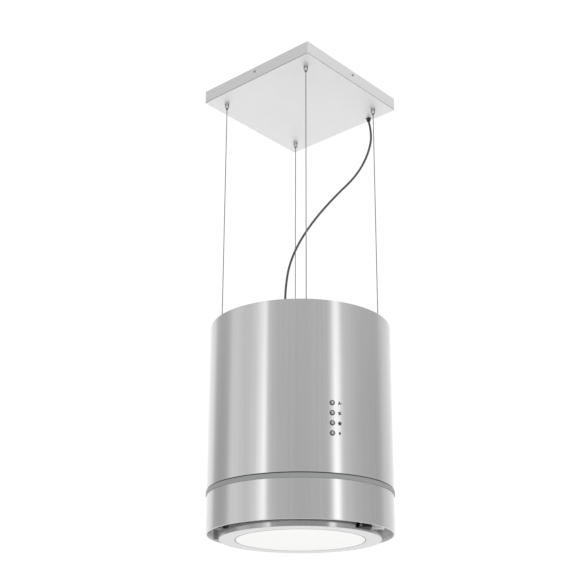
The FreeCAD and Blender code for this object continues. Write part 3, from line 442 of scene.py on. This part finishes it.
WHITE_FACE = plastic_material("white_face", (0.62, 0.62, 0.62), (0.655, 0.655, 0.655), 0.4, 250.0, 0.03)
FROSTED = plastic_material("frosted_acrylic", (0.225, 0.23, 0.23), (0.26, 0.265, 0.265), 0.4, 600.0, 0.08)
# painted shade: the grey of the diffuser's bead stands for the shaded gap round the diffuser
GAP_SHADE_GREY = plastic_material("gap_shade_grey", (0.22, 0.22, 0.22), (0.26, 0.26, 0.26), 0.5, 300.0, 0.05)
OPAL = plastic_material("opal_acrylic", (0.72, 0.72, 0.71), (0.75, 0.75, 0.74), 0.4, 120.0, 0.02)
glow(OPAL, 0.10)

# ---------------------------------------------------------------- cords
CABLE_DIAMETER = 0.005
CABLE_ROUTE = [
    (0.144, -0.085, -0.036),
    (0.148, -0.090, -0.068),
    (0.146, -0.086, -0.104),
    (0.135, -0.076, -0.146),
    (0.117, -0.059, -0.187),
    (0.086, -0.032, -0.232),
    (0.053, -0.003, -0.287),
    (0.026, 0.022, -0.345),
    (0.005, 0.036, -0.405),
    (-0.005, 0.039, -0.466),
    (-0.008, 0.037, -0.528),
    (-0.008, 0.037, -0.580),
]
CABLE_SIDES = 20
CABLE_STEPS = 16             # between two control points


def spline_points(name, route, resolution):
    """Points along the smooth NURBS line whose control points are a route."""
    curve = bpy.data.curves.new(name, "CURVE")
    curve.dimensions = "3D"
    spline = curve.splines.new("NURBS")
    spline.points.add(len(route) - 1)
    for control, place in zip(spline.points, route):
        control.co = (*place, 1.0)
    spline.order_u = 3
    spline.use_endpoint_u = True
    spline.resolution_u = resolution
    holder = bpy.data.objects.new(name, curve)
    bpy.context.scene.collection.objects.link(holder)
    bpy.context.view_layer.update()
    line = bpy.data.meshes.new_from_object(holder)
    points = [v.co.copy() for v in line.vertices]
    bpy.data.objects.remove(holder)
    bpy.data.meshes.remove(line)
    bpy.data.curves.remove(curve)
    return points


def hang_between(piece):
    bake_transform(piece)


def supply_cable():
    line = spline_points("cable_line", CABLE_ROUTE, CABLE_STEPS)
    piece = tube("supply_cable_sheath", line, CABLE_DIAMETER / 2, CABLE, CABLE_SIDES)
    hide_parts("supply_cable")
    hang_between(piece)


STRANDS = 6
STRAND_RADIUS = WIRE_RADIUS / 3
STRAND_SIDES = 6
LAY_LENGTH = 0.014           # one turn of a strand round the core
LAY_STEPS = 12


def stranded_wire(name, x, y):
    """Six strands laid round a core."""
    length = WIRE_HIGH - WIRE_LOW
    steps = int(length / LAY_LENGTH * LAY_STEPS)
    vertices = []
    faces = []
    for strand in range(STRANDS + 1):
        offset = len(vertices)
        core = strand == STRANDS
        reach = 0.0 if core else WIRE_RADIUS - STRAND_RADIUS
        ring_steps = 1 if core else steps
        for i in range(ring_steps + 1):
            t = i / ring_steps
            turn = 2 * math.pi * (strand / STRANDS + t * length / LAY_LENGTH)
            centre = Vector((x + reach * math.cos(turn), y + reach * math.sin(turn),
                             WIRE_HIGH - t * length))
            for k in range(STRAND_SIDES):
                angle = 2 * math.pi * k / STRAND_SIDES
                vertices.append(centre + Vector((math.cos(angle), math.sin(angle), 0)) * STRAND_RADIUS)
        for i in range(ring_steps):
            a = offset + i * STRAND_SIDES
            b = a + STRAND_SIDES
            for k in range(STRAND_SIDES):
                m = (k + 1) % STRAND_SIDES
                faces.append((a + k, b + k, b + m, a + m))
    piece = link(name, mesh_from(name, vertices, faces), WIRE)
    return piece


def suspension_wires():
    for number, (sx, sy) in enumerate(CORNERS, 1):
        x, y = sx * WIRE_OFFSET, sy * WIRE_OFFSET
        piece = stranded_wire("suspension_wire_%d" % number, x, y)
        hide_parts("suspension_wires")
        hang_between(piece)


supply_cable()
suspension_wires()


# ---------------------------------------------------------------- turned sheet-metal and moulded pieces
def radial_normals(piece):
    """Shades walls that stand round the hood's axis as exactly round."""
    mesh = piece.data
    normals = [UP] * len(mesh.loops)
    for polygon in mesh.polygons:
        for loop in polygon.loop_indices:
            place = mesh.vertices[mesh.loops[loop].vertex_index].co
            outward = Vector((place.x, place.y, 0)).normalized()
            facing = polygon.normal.dot(outward)
            if abs(facing) > ROUND_WALL:
                normals[loop] = outward * math.copysign(1, facing)
            else:
                normals[loop] = polygon.normal.copy()
    mesh.normals_split_custom_set([tuple(n) for n in normals])


def stand_for(piece, node_name, body):
    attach(piece, body)
    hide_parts(node_name)


def paint_inside(piece):
    """Gives a sheet's inner faces, which look at the axis, a paler steel that glows faintly: painted
    light.
    """
    piece.data.materials.append(INNER_STEEL_PAINTED_LIGHT)
    for polygon in piece.data.polygons:
        outward = Vector((polygon.center.x, polygon.center.y, 0)).normalized()
        within = polygon.center.xy.length < INNER_RADIUS + INSIDE_MARGIN
        if within and polygon.normal.dot(outward) < INSIDE_FACING:
            polygon.material_index = 1


WALL = 0.001
HEM = 0.0015
HEM_HEIGHT = 0.008
INNER_RADIUS = HOOD_RADIUS - WALL
ROUND_WALL = 0.995           # how nearly a face must look outward or inward to count as round
INSIDE_MARGIN = 0.0001
INSIDE_FACING = 0.5
UPPER_EDGE = 0.0004          # rounding of the sheets' edges
LOWER_EDGE = 0.0005
BUTTON_RADIUS = 0.0035
BEZEL_RADIUS = 0.0054
BEZEL_HOLE = 0.0045
HOLE_STEPS = 48
HOLE_DEPTH = 0.02
button_heights = [(low.z + high.z) / 2 for low, high in (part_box("button_%d" % n) for n in (1, 2, 3, 4))]


def upper_shell():
    outline = [(HOOD_RADIUS, SHELL_LOW), (HOOD_RADIUS, SHELL_HIGH), (INNER_RADIUS - HEM, SHELL_HIGH),
               (INNER_RADIUS - HEM, SHELL_HIGH - HEM_HEIGHT), (INNER_RADIUS, SHELL_HIGH - HEM_HEIGHT),
               (INNER_RADIUS, SHELL_LOW)]
    piece = lathe("upper_shell_sheet", rounded(outline, UPPER_EDGE, 3), STEEL)
    cutters = []
    for height in button_heights:
        mesh = bpy.data.meshes.new("hole")
        tool = bmesh.new()
        bmesh.ops.create_cone(tool, cap_ends=True, segments=HOLE_STEPS, radius1=BEZEL_HOLE,
                              radius2=BEZEL_HOLE, depth=HOLE_DEPTH)
        tool.to_mesh(mesh)
        tool.free()
        cutter = link("hole", mesh)
        cutter.matrix_world = radial_frame(BUTTON_AZIMUTH, HOOD_RADIUS, height)
        cutters.append(cutter)
        cut = piece.modifiers.new("hole", "BOOLEAN")
        cut.operation = "DIFFERENCE"
        cut.solver = "EXACT"
        cut.object = cutter
    bpy.context.view_layer.update()
    holed = bpy.data.meshes.new_from_object(piece.evaluated_get(bpy.context.evaluated_depsgraph_get()))
    piece.modifiers.clear()
    piece.data = holed
    for cutter in cutters:
        bpy.data.objects.remove(cutter)
    radial_normals(piece)
    paint_inside(piece)
    stand_for(piece, "upper_shell", "hood")


def lower_skirt():
    outline = [(HOOD_RADIUS, SKIRT_LOW), (HOOD_RADIUS, SKIRT_HIGH), (INNER_RADIUS, SKIRT_HIGH),
               (INNER_RADIUS, SKIRT_LOW + HEM_HEIGHT), (INNER_RADIUS - HEM, SKIRT_LOW + HEM_HEIGHT),
               (INNER_RADIUS - HEM, SKIRT_LOW)]
    piece = lathe("lower_skirt_sheet", rounded(outline, LOWER_EDGE, 3), STEEL)
    radial_normals(piece)
    paint_inside(piece)
    stand_for(piece, "lower_skirt", "hood")


RING_INNER = HOOD_RADIUS - 0.004
RING_EDGE = 0.0008
GASKET_EDGE = 0.0003


def slab(inner, outer, low, high):
    """The profile of a flat ring."""
    return [(inner, low), (outer, low), (outer, high), (inner, high)]


def ring_pieces():
    low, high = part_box("light_ring")
    outline = slab(RING_INNER, high.x, low.z, high.z)
    piece = lathe("light_ring_moulding", rounded(outline, RING_EDGE, 5), FROSTED)
    stand_for(piece, "light_ring", "hood")
    low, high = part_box("shadow_gasket")
    outline = slab(RING_INNER, INNER_RADIUS, low.z, high.z)
    piece = lathe("shadow_gasket_strip", rounded(outline, GASKET_EDGE, 3), BLACK_RUBBER)
    stand_for(piece, "shadow_gasket", "hood")


PAN_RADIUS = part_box("panel_pan")[1].x
PAN_WALL = 0.001
PAN_LEAN = 0.0006            # how far the wall leans out at its belly and in at its foot
PAN_BELLY = 0.0118           # the belly's height above the foot
PAN_BELLY_BAND = 0.002
PAN_EDGE = 0.0004
PAN_SHARP = 9.0
AXIS_MARGIN = 0.001          # rounding points nearer to the axis than this are dropped
FACE_GAP = 0.0004            # between the face ring and the pan's wall
FACE_EDGE = 0.0009
DIFFUSER_GAP = 0.0005        # between the diffuser and the face ring
DIFFUSER_EDGE = 0.0012
DIFFUSER_MARGIN = 0.02
BEAD_IN, BEAD_OUT = 0.0010, 0.0012
BEAD_PROUD, BEAD_DEEP = 0.0002, 0.0012
BEAD_EDGE = 0.0003


def closed_at_axis(outline, radius, steps, margin):
    """A rounded profile whose first and last points stay sharp on the axis."""
    middle = [p for p in rounded(outline, radius, steps) if p[0] > margin]
    return [outline[0]] + middle + [outline[-1]]


def panel_pan():
    low, high = PANEL_LOW, PANEL_HIGH
    belly = PAN_RADIUS + PAN_LEAN
    foot = PAN_RADIUS - PAN_LEAN
    inner = PAN_RADIUS - PAN_WALL
    outline = [(0, high), (PAN_RADIUS, high), (belly, low + PAN_BELLY + PAN_BELLY_BAND),
               (belly, low + PAN_BELLY), (foot, low), (foot - PAN_WALL, low),
               (inner, low + PAN_BELLY), (inner, high - PAN_WALL), (0, high - PAN_WALL)]
    profile = closed_at_axis(outline, PAN_EDGE, 3, AXIS_MARGIN)
    pan = lathe("panel_pan_sheet", profile, PAN_STEEL, closed=False, sharp=PAN_SHARP)
    stand_for(pan, "panel_pan", "panel")


def face_ring():
    low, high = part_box("face_ring")
    outer = min(high.x, PAN_RADIUS - PAN_LEAN - FACE_GAP)
    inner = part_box("light_diffuser")[1].x + DIFFUSER_GAP
    outline = slab(inner, outer, low.z, high.z)
    face = lathe("face_ring_plate", rounded(outline, FACE_EDGE, 4), WHITE_FACE)
    stand_for(face, "face_ring", "panel")


def light_diffuser():
    """The opal disc, and the fine grey bead round its edge, whose grey is painted shade of the gap there.
    """
    low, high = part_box("light_diffuser")
    edge = high.x
    profile = closed_at_axis(slab(0, edge, low.z, high.z), DIFFUSER_EDGE, 5, DIFFUSER_MARGIN)
    disc = lathe("light_diffuser_disc", profile, OPAL, closed=False)
    stand_for(disc, "light_diffuser", "panel")
    bead = slab(edge - BEAD_IN, edge + BEAD_OUT, low.z - BEAD_PROUD, low.z + BEAD_DEEP)
    rim = lathe("diffuser_rim", rounded(bead, BEAD_EDGE, 3), GAP_SHADE_GREY)
    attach(rim, "panel")


# the outside of a grip: shares of its radius, at heights above its foot and below the canopy
GRIP_NOSE = ((0.62, 0.0), (0.9, 0.0016), (1.0, 0.003))
GRIP_GROOVE = ((1.0, 0.002), (0.93, 0.0014), (1.0, 0.0008), (1.0, 0.0))
GRIP_NECK = 0.84
GRIP_BORE = 0.00225
GRIP_EDGE = 0.0008
GRIP_STEPS = 48
PLUNGER_RADIUS = 0.0022
PLUNGER_BORE = 0.0013
PLUNGER_COLLAR = 0.0009      # low enough to stay out of the grip when pushed up
PLUNGER_EDGE = 0.0004
PLUNGER_STEPS = 36


def grip_barrel(number, centre):
    low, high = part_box("grip_barrels")
    radius = high.x - WIRE_OFFSET
    neck = radius * GRIP_NECK
    nose = [(radius * share, low.z + rise) for share, rise in GRIP_NOSE]
    groove = [(radius * share, CANOPY_FLOOR - drop) for share, drop in GRIP_GROOVE]
    outline = [(GRIP_BORE, low.z), *nose, *groove, (neck, CANOPY_FLOOR), (neck, high.z),
               (GRIP_BORE, high.z)]
    piece = lathe("grip_barrel_%d" % number, rounded(outline, GRIP_EDGE, 3), GRIP_CHROME, GRIP_STEPS,
                  centre=centre)
    stand_for(piece, "grip_barrels", "canopy")


def plunger_tip(number, centre):
    name = "release_plunger_%d" % number
    low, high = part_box(name)
    collar = (high.x - low.x) / 2
    shoulder = low.z + PLUNGER_COLLAR
    outline = [(PLUNGER_BORE, low.z), (collar, low.z), (collar, shoulder), (PLUNGER_RADIUS, shoulder),
               (PLUNGER_RADIUS, high.z), (PLUNGER_BORE, high.z)]
    piece = lathe("plunger_tip_%d" % number, rounded(outline, PLUNGER_EDGE, 3), GRIP_CHROME,
                  PLUNGER_STEPS, centre=centre)
    stand_for(piece, name, "plunger_%d" % number)


def wire_grips():
    for number, (sx, sy) in enumerate(CORNERS, 1):
        centre = (sx * WIRE_OFFSET, sy * WIRE_OFFSET)
        grip_barrel(number, centre)
        plunger_tip(number, centre)


# radius and hollow below the highest point
BUTTON_FACE = ((0.0, 0.0004), (0.0018, 0.0003), (0.0027, 0.0), (BUTTON_RADIUS, 0.0002))
BUTTON_PROUD = 0.0022
BUTTON_SINK = 0.0035
BUTTON_EDGE = 0.0005
BUTTON_MARGIN = 0.0004
BUTTON_STEPS = 40
STEM_RADIUS = 0.0024
STEM_END = 0.1829            # from the hood's axis
BEZEL_PROUD = 0.0009
BEZEL_DEPTH = 0.003          # behind the sheet
BEZEL_SEAT = 0.0001          # the rim's sink into the sheet
BEZEL_BORE = BUTTON_RADIUS + 0.0003
BEZEL_EDGE = 0.0004
BEZEL_STEPS = 48


def lathe_outward(name, profile, material, z, segments, closed=True):
    """Turns a profile of (radius, distance from the hood's axis) about a button's line."""
    piece = lathe(name, profile, material, segments, closed)
    piece.data.transform(radial_frame(BUTTON_AZIMUTH, 0.0, z))
    return piece


def push_buttons():
    face = HOOD_RADIUS + BUTTON_PROUD
    back = HOOD_RADIUS - BUTTON_SINK
    cap = [(radius, face - hollow) for radius, hollow in BUTTON_FACE]
    cap += [(BUTTON_RADIUS, back), (STEM_RADIUS, back), (STEM_RADIUS, STEM_END), (0.0, STEM_END)]
    deep = INNER_RADIUS - BEZEL_DEPTH
    seat = HOOD_RADIUS - BEZEL_SEAT
    top = HOOD_RADIUS + BEZEL_PROUD
    bezel = [(BEZEL_BORE, deep), (BEZEL_HOLE, deep), (BEZEL_HOLE, seat), (BEZEL_RADIUS, seat),
             (BEZEL_RADIUS, top), (BEZEL_BORE, top)]
    for number, height in enumerate(button_heights, 1):
        profile = closed_at_axis(cap, BUTTON_EDGE, 4, BUTTON_MARGIN)
        piece = lathe_outward("button_cap_%d" % number, profile, BUTTON_STEEL, height, BUTTON_STEPS,
                              closed=False)
        stand_for(piece, "button_%d" % number, "push_button_%d" % number)
        piece = lathe_outward("button_bezel_%d" % number, rounded(bezel, BEZEL_EDGE, 3), BEZEL_METAL,
                              height, BEZEL_STEPS)
        stand_for(piece, "button_bezels", "hood")


# ---------------------------------------------------------------- icons beside the buttons
ICON_AZIMUTH = BUTTON_AZIMUTH + 4.6
ICON_LIFT = 0.00006
# blades, turn of the first in degrees, reach and width
FANS = ((3, 90, 0.0046, 0.0028), (4, 45, 0.0048, 0.0027), (5, 0, 0.0047, 0.0031))
HUB_RADIUS = 0.0009
BLADE_START = 0.0006
BLADE_STEPS = 6
BLADE_BEND = 0.55
BLADE_ROOT, BLADE_SWELL = 0.18, 0.8    # where on a half wave the blade's width begins, and its span
BULB_HEIGHT, BULB_RADIUS = 0.0007, 0.0024
LAMP_CAP = ((-0.0012, -0.0011), (-0.0010, -0.0032), (0.0010, -0.0032), (0.0012, -0.0011))
DISC_STEPS = 14


def blade(turn, reach, width):
    """Outline of one curved fan blade."""
    left = []
    right = []
    for i in range(BLADE_STEPS + 1):
        t = i / BLADE_STEPS
        radius = BLADE_START + (reach - BLADE_START) * t
        spread = width * math.sin(math.pi * min(1.0, BLADE_ROOT + BLADE_SWELL * t)) / 2
        bend = turn + BLADE_BEND * t
        centre = Vector((radius * math.cos(bend), radius * math.sin(bend)))
        side = Vector((-math.sin(bend), math.cos(bend))) * spread
        left.append(centre + side)
        right.append(centre - side)
    return left + right[::-1]


def disc_outline(height, radius):
    turns = [2 * math.pi * i / DISC_STEPS for i in range(DISC_STEPS)]
    return [Vector((radius * math.cos(turn), height + radius * math.sin(turn))) for turn in turns]


def icon_outlines():
    """Slow fan, middle fan, fast fan and lamp."""
    icons = []
    for count, first, reach, width in FANS:
        blades = [blade(math.radians(first + 360 / count * i), reach, width) for i in range(count)]
        icons.append(blades + [disc_outline(0, HUB_RADIUS)])
    icons.append([disc_outline(BULB_HEIGHT, BULB_RADIUS), [Vector(p) for p in LAMP_CAP]])
    return icons


def printed_icons():
    for number, (height, outlines) in enumerate(zip(button_heights, icon_outlines()), 1):
        vertices = []
        faces = []
        for outline in outlines:
            count = len(outline)
            start = len(vertices)
            for lift in (0.0, ICON_LIFT):
                for p in outline:
                    azimuth = ICON_AZIMUTH + math.degrees(p.x / HOOD_RADIUS)
                    vertices.append(polar(azimuth, HOOD_RADIUS + lift, height + p.y))
            faces.append(tuple(range(start + count, start + 2 * count)))
            for i in range(count):
                m = (i + 1) % count
                faces.append((start + i, start + m, start + count + m, start + count + i))
        name = "function_icon_%d" % number
        piece = link(name, mesh_from(name, vertices, faces), ICON_INK, smooth=False)
        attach(piece, "hood")


SEAM_TURN = 0.28             # half width, in degrees
SEAM_PROUD = 0.00012
SEAM_MARGIN = 0.0006


def shell_seam():
    """The welded joint down the back of both sheets."""
    section = [(-SEAM_TURN, 0.0), (-SEAM_TURN / 2, SEAM_PROUD), (SEAM_TURN / 2, SEAM_PROUD),
               (SEAM_TURN, 0.0)]
    for name, low, high in (("upper_seam", SHELL_LOW, SHELL_HIGH), ("skirt_seam", SKIRT_LOW, SKIRT_HIGH)):
        vertices = [polar(SEAM_AZIMUTH + turn, HOOD_RADIUS + lift, z)
                    for z in (low + SEAM_MARGIN, high - SEAM_MARGIN) for turn, lift in section]
        faces = [(i, i + 1, i + 5, i + 4) for i in range(3)]
        piece = link(name, mesh_from(name, vertices, faces), STEEL)
        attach(piece, "hood")


FOLD_RISE = 0.0011           # above the canopy's floor
FOLD_HEIGHT = 0.0009
FOLD_PROUD = 0.00012
FOLD_CORNER = 0.0009


def canopy_fold_shadow():
    """A fine dark strip round the canopy where its sides meet the lower tray: painted shadow of the fold.
    """
    low = CANOPY_FLOOR + FOLD_RISE
    high = low + FOLD_HEIGHT
    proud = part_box("canopy_cover")[1].x + FOLD_PROUD
    outline = []
    for sx, sy in CORNERS:
        outline.append(Vector((sx * proud, sy * (proud - FOLD_CORNER))))
        outline.append(Vector((sx * (proud - FOLD_CORNER), sy * proud)))
    order = sorted(outline, key=lambda p: math.atan2(p.y, p.x))
    count = len(order)
    vertices = [(p.x, p.y, z) for z in (low, high) for p in order]
    faces = [(i, (i + 1) % count, count + (i + 1) % count, count + i) for i in range(count)]
    piece = link("canopy_fold_shadow", mesh_from("canopy_fold_shadow", vertices, faces), FOLD_SHADOW, smooth=False)
    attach(piece, "canopy")


upper_shell()
lower_skirt()
ring_pieces()
panel_pan()
face_ring()
light_diffuser()
wire_grips()
push_buttons()
printed_icons()
shell_seam()
canopy_fold_shadow()


# ---------------------------------------------------------------- grease filter seen with the panel open
SCREEN_MARGIN = 0.001
SCREEN_PITCH = 0.0055
SCREEN_WAVE = 0.0016
STRAND_HALF_WIDTH = 0.0005
STRAND_HALF_HEIGHT = 0.00035


def filter_screen():
    """Two crossed layers of wavy strands, as in expanded metal."""
    low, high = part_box("filter_mesh")
    reach = high.x - SCREEN_MARGIN
    level = (low.z + high.z) / 2
    pitch = SCREEN_PITCH
    vertices = []
    faces = []
    rows = int(reach / pitch)
    for layer in (0, 1):
        turn = Matrix.Rotation(math.radians(45 + 90 * layer), 3, "Z")
        for row in range(-rows, rows + 1):
            offset = row * pitch
            half = math.sqrt(reach * reach - offset * offset)
            steps = max(2, int(2 * half / (pitch / 2)))
            start = len(vertices)
            for i in range(steps + 1):
                along = -half + 2 * half * i / steps
                wave = math.sin(math.pi * along / pitch + math.pi * row + math.pi * layer)
                z = level + wave * SCREEN_WAVE
                for side, lift in CORNERS:
                    corner = turn @ Vector((along, offset + side * STRAND_HALF_WIDTH, 0))
                    vertices.append((corner.x, corner.y, z + lift * STRAND_HALF_HEIGHT))
            for i in range(steps):
                a = start + 4 * i
                for k in range(4):
                    m = (k + 1) % 4
                    faces.append((a + k, a + m, a + 4 + m, a + 4 + k))
    piece = link("filter_screen", mesh_from("filter_screen", vertices, faces), ALUMINIUM, smooth=False)
    stand_for(piece, "filter_mesh", "hood")


filter_screen()


# ---------------------------------------------------------------- CAD nodes that keep their shape
NODE_MATERIALS = {
    "canopy_cover": CANOPY_STEEL, "ceiling_bracket": ZINC, "cover_screws": SCREW, "grip_nuts": SCREW,
    "gripping_jaws": SCREW, "canopy_grommet": BLACK_RUBBER, "terminal_block": GREY_PLASTIC,
    "joining_band": ZINC, "ring_led_strip": WHITE_BOARD, "deck_plate": ZINC, "shell_brackets": ZINC,
    "deck_screws": SCREW, "wire_anchors": CHROME, "anchor_nuts": SCREW, "cable_gland": BLACK_PLASTIC,
    "outlet_grille": BLACK_PLASTIC, "blower_housing_left": GREY_PLASTIC,
    "blower_housing_right": GREY_PLASTIC, "blower_motor": MOTOR, "motor_spider": ZINC,
    "motor_shaft": SCREW, "impeller": MOTOR, "cassette_left": BLACK_PLASTIC,
    "charcoal_left": CHARCOAL, "cassette_right": BLACK_PLASTIC, "charcoal_right": CHARCOAL,
    "control_board": BOARD, "board_cover": GREY_PLASTIC, "led_driver": BLACK_PLASTIC,
    "filter_deck": ZINC, "filter_frame": ALUMINIUM, "filter_latch": BLACK_PLASTIC,
    "hinge_lugs": ZINC, "hinge_pins": SCREW, "catch_plates": BRIGHT_ZINC,
    "catch_magnets": MATT_BLACK, "hinge_leaves": ZINC, "strike_plates": DARK_STEEL,
    "panel_support_ring": WHITE_BOARD, "led_board": WHITE_BOARD,
}
for name, material in NODE_MATERIALS.items():
    for material_slot in nodes[name].material_slots:
        material_slot.material = material


# ---------------------------------------------------------------- light and background
# light level all round the studio, as degrees from the view's side and brightness
STUDIO_LEVELS = (
    (-180, 1.15), (-150, 1.20), (-138, 1.18), (-128, 0.70), (-116, 0.62), (-102, 0.70), (-93, 1.16),
    (-84, 1.14), (-70, 0.98), (-56, 1.18), (-48, 1.75), (-44, 2.2), (-40, 1.0), (-30, 0.83), (0, 0.75),
    (33, 0.80), (38, 1.05), (42, 2.2), (47, 2.2), (52, 1.05), (74, 0.80), (92, 0.72), (112, 0.70),
    (122, 0.95), (138, 1.10), (180, 1.15),
)
HIGH_LEVEL = 0.95
FADE_LOW, FADE_HIGH = 0.28, 0.62       # the sky's upward part between which it takes over


def studio_world():
    world = bpy.data.worlds.new("studio")
    world.use_nodes = True
    bpy.context.scene.world = world
    tree = world.node_tree
    background = tree.nodes["Background"]
    direction = node(tree, "ShaderNodeTexCoord")
    turn = node(tree, "ShaderNodeVectorRotate", rotation_type="Z_AXIS")
    turn.inputs["Angle"].default_value = -math.radians(CAMERA_AZIMUTH)
    parts = node(tree, "ShaderNodeSeparateXYZ")
    back = node(tree, "ShaderNodeMath", operation="MULTIPLY")
    back.inputs[1].default_value = -1.0
    angle = node(tree, "ShaderNodeMath", operation="ARCTAN2")
    place = node(tree, "ShaderNodeMapRange")
    place.inputs["From Min"].default_value = -math.pi
    place.inputs["From Max"].default_value = math.pi
    levels = node(tree, "ShaderNodeValToRGB")
    stops = levels.color_ramp.elements
    while len(stops) < len(STUDIO_LEVELS):
        stops.new(0.5)
    for stop, (degrees, _) in zip(stops, STUDIO_LEVELS):
        stop.position = (degrees + 180) / 360
    for stop, (_, level) in zip(stops, STUDIO_LEVELS):
        stop.color = grey(level)
    height = node(tree, "ShaderNodeMapRange")
    height.inputs["From Min"].default_value = FADE_LOW
    height.inputs["From Max"].default_value = FADE_HIGH
    tree.links.new(direction.outputs["Generated"], turn.inputs["Vector"])
    tree.links.new(turn.outputs["Vector"], parts.inputs["Vector"])
    tree.links.new(parts.outputs["Y"], back.inputs[0])
    tree.links.new(parts.outputs["X"], angle.inputs[0])
    tree.links.new(back.outputs["Value"], angle.inputs[1])
    tree.links.new(angle.outputs["Value"], place.inputs["Value"])
    tree.links.new(place.outputs["Result"], levels.inputs["Fac"])
    tree.links.new(parts.outputs["Z"], height.inputs["Value"])
    sky = faded(tree, height.outputs["Result"], levels.outputs["Color"], grey(HIGH_LEVEL))
    tree.links.new(sky, background.inputs["Color"])
    background.inputs["Strength"].default_value = 1.0


STAGE_ROUGH = 0.8
STAGE_CLOUDS = (3.0, EVEN, 2.0)
FLOOR_TONE, FLOOR_GLOW = 0.82, 0.22
FLOOR_REACH = 15.0
SURROUND_RADIUS = 26.0


def stage_material(name, level, emission):
    material, tree, shader = new_material(name)
    noise = stretched_noise(tree, *STAGE_CLOUDS)
    colour = ramp(tree, noise.outputs["Fac"], grey(level * 0.98), grey(level), *NOISE_MIDDLE)
    tree.links.new(colour.outputs["Color"], shader.inputs["Base Color"])
    shader.inputs["Roughness"].default_value = STAGE_ROUGH
    glow(material, emission)
    return material


def studio_stage():
    """A pale floor, and a white surround that only the camera sees."""
    corners = [(sx * FLOOR_REACH, sy * FLOOR_REACH, FLOOR_Z) for sx, sy in CORNERS]
    floor = link("studio_floor", mesh_from("studio_floor", corners, [(0, 1, 2, 3)]),
                 stage_material("floor_white", FLOOR_TONE, FLOOR_GLOW))
    mesh = bpy.data.meshes.new("studio_surround")
    dome = bmesh.new()
    bmesh.ops.create_uvsphere(dome, u_segments=48, v_segments=24, radius=SURROUND_RADIUS)
    dome.to_mesh(mesh)
    dome.free()
    surround = link("studio_surround", mesh, stage_material("surround_white", 0.0, 1.0))
    for ray in ("diffuse", "glossy", "transmission", "volume_scatter", "shadow"):
        setattr(surround, "visible_" + ray, False)


def fill_light(name, place, target, width, height, power):
    """A soft light that is not itself seen or mirrored."""
    data = bpy.data.lights.new(name, "AREA")
    data.shape = "RECTANGLE"
    data.size = width
    data.size_y = height
    data.energy = power
    light = bpy.data.objects.new(name, data)
    bpy.context.scene.collection.objects.link(light)
    light.location = place
    light.rotation_euler = (Vector(target) - Vector(place)).to_track_quat("-Z", "Y").to_euler()
    light.visible_camera = False
    light.visible_glossy = False


bpy.context.scene.view_settings.view_transform = "Standard"
studio_world()
studio_stage()
fill_light("low_fill", polar(CAMERA_AZIMUTH + 20, 1.6, SKIRT_LOW - 0.6), (0, 0, SKIRT_LOW),
           width=1.0, height=0.6, power=6.0)
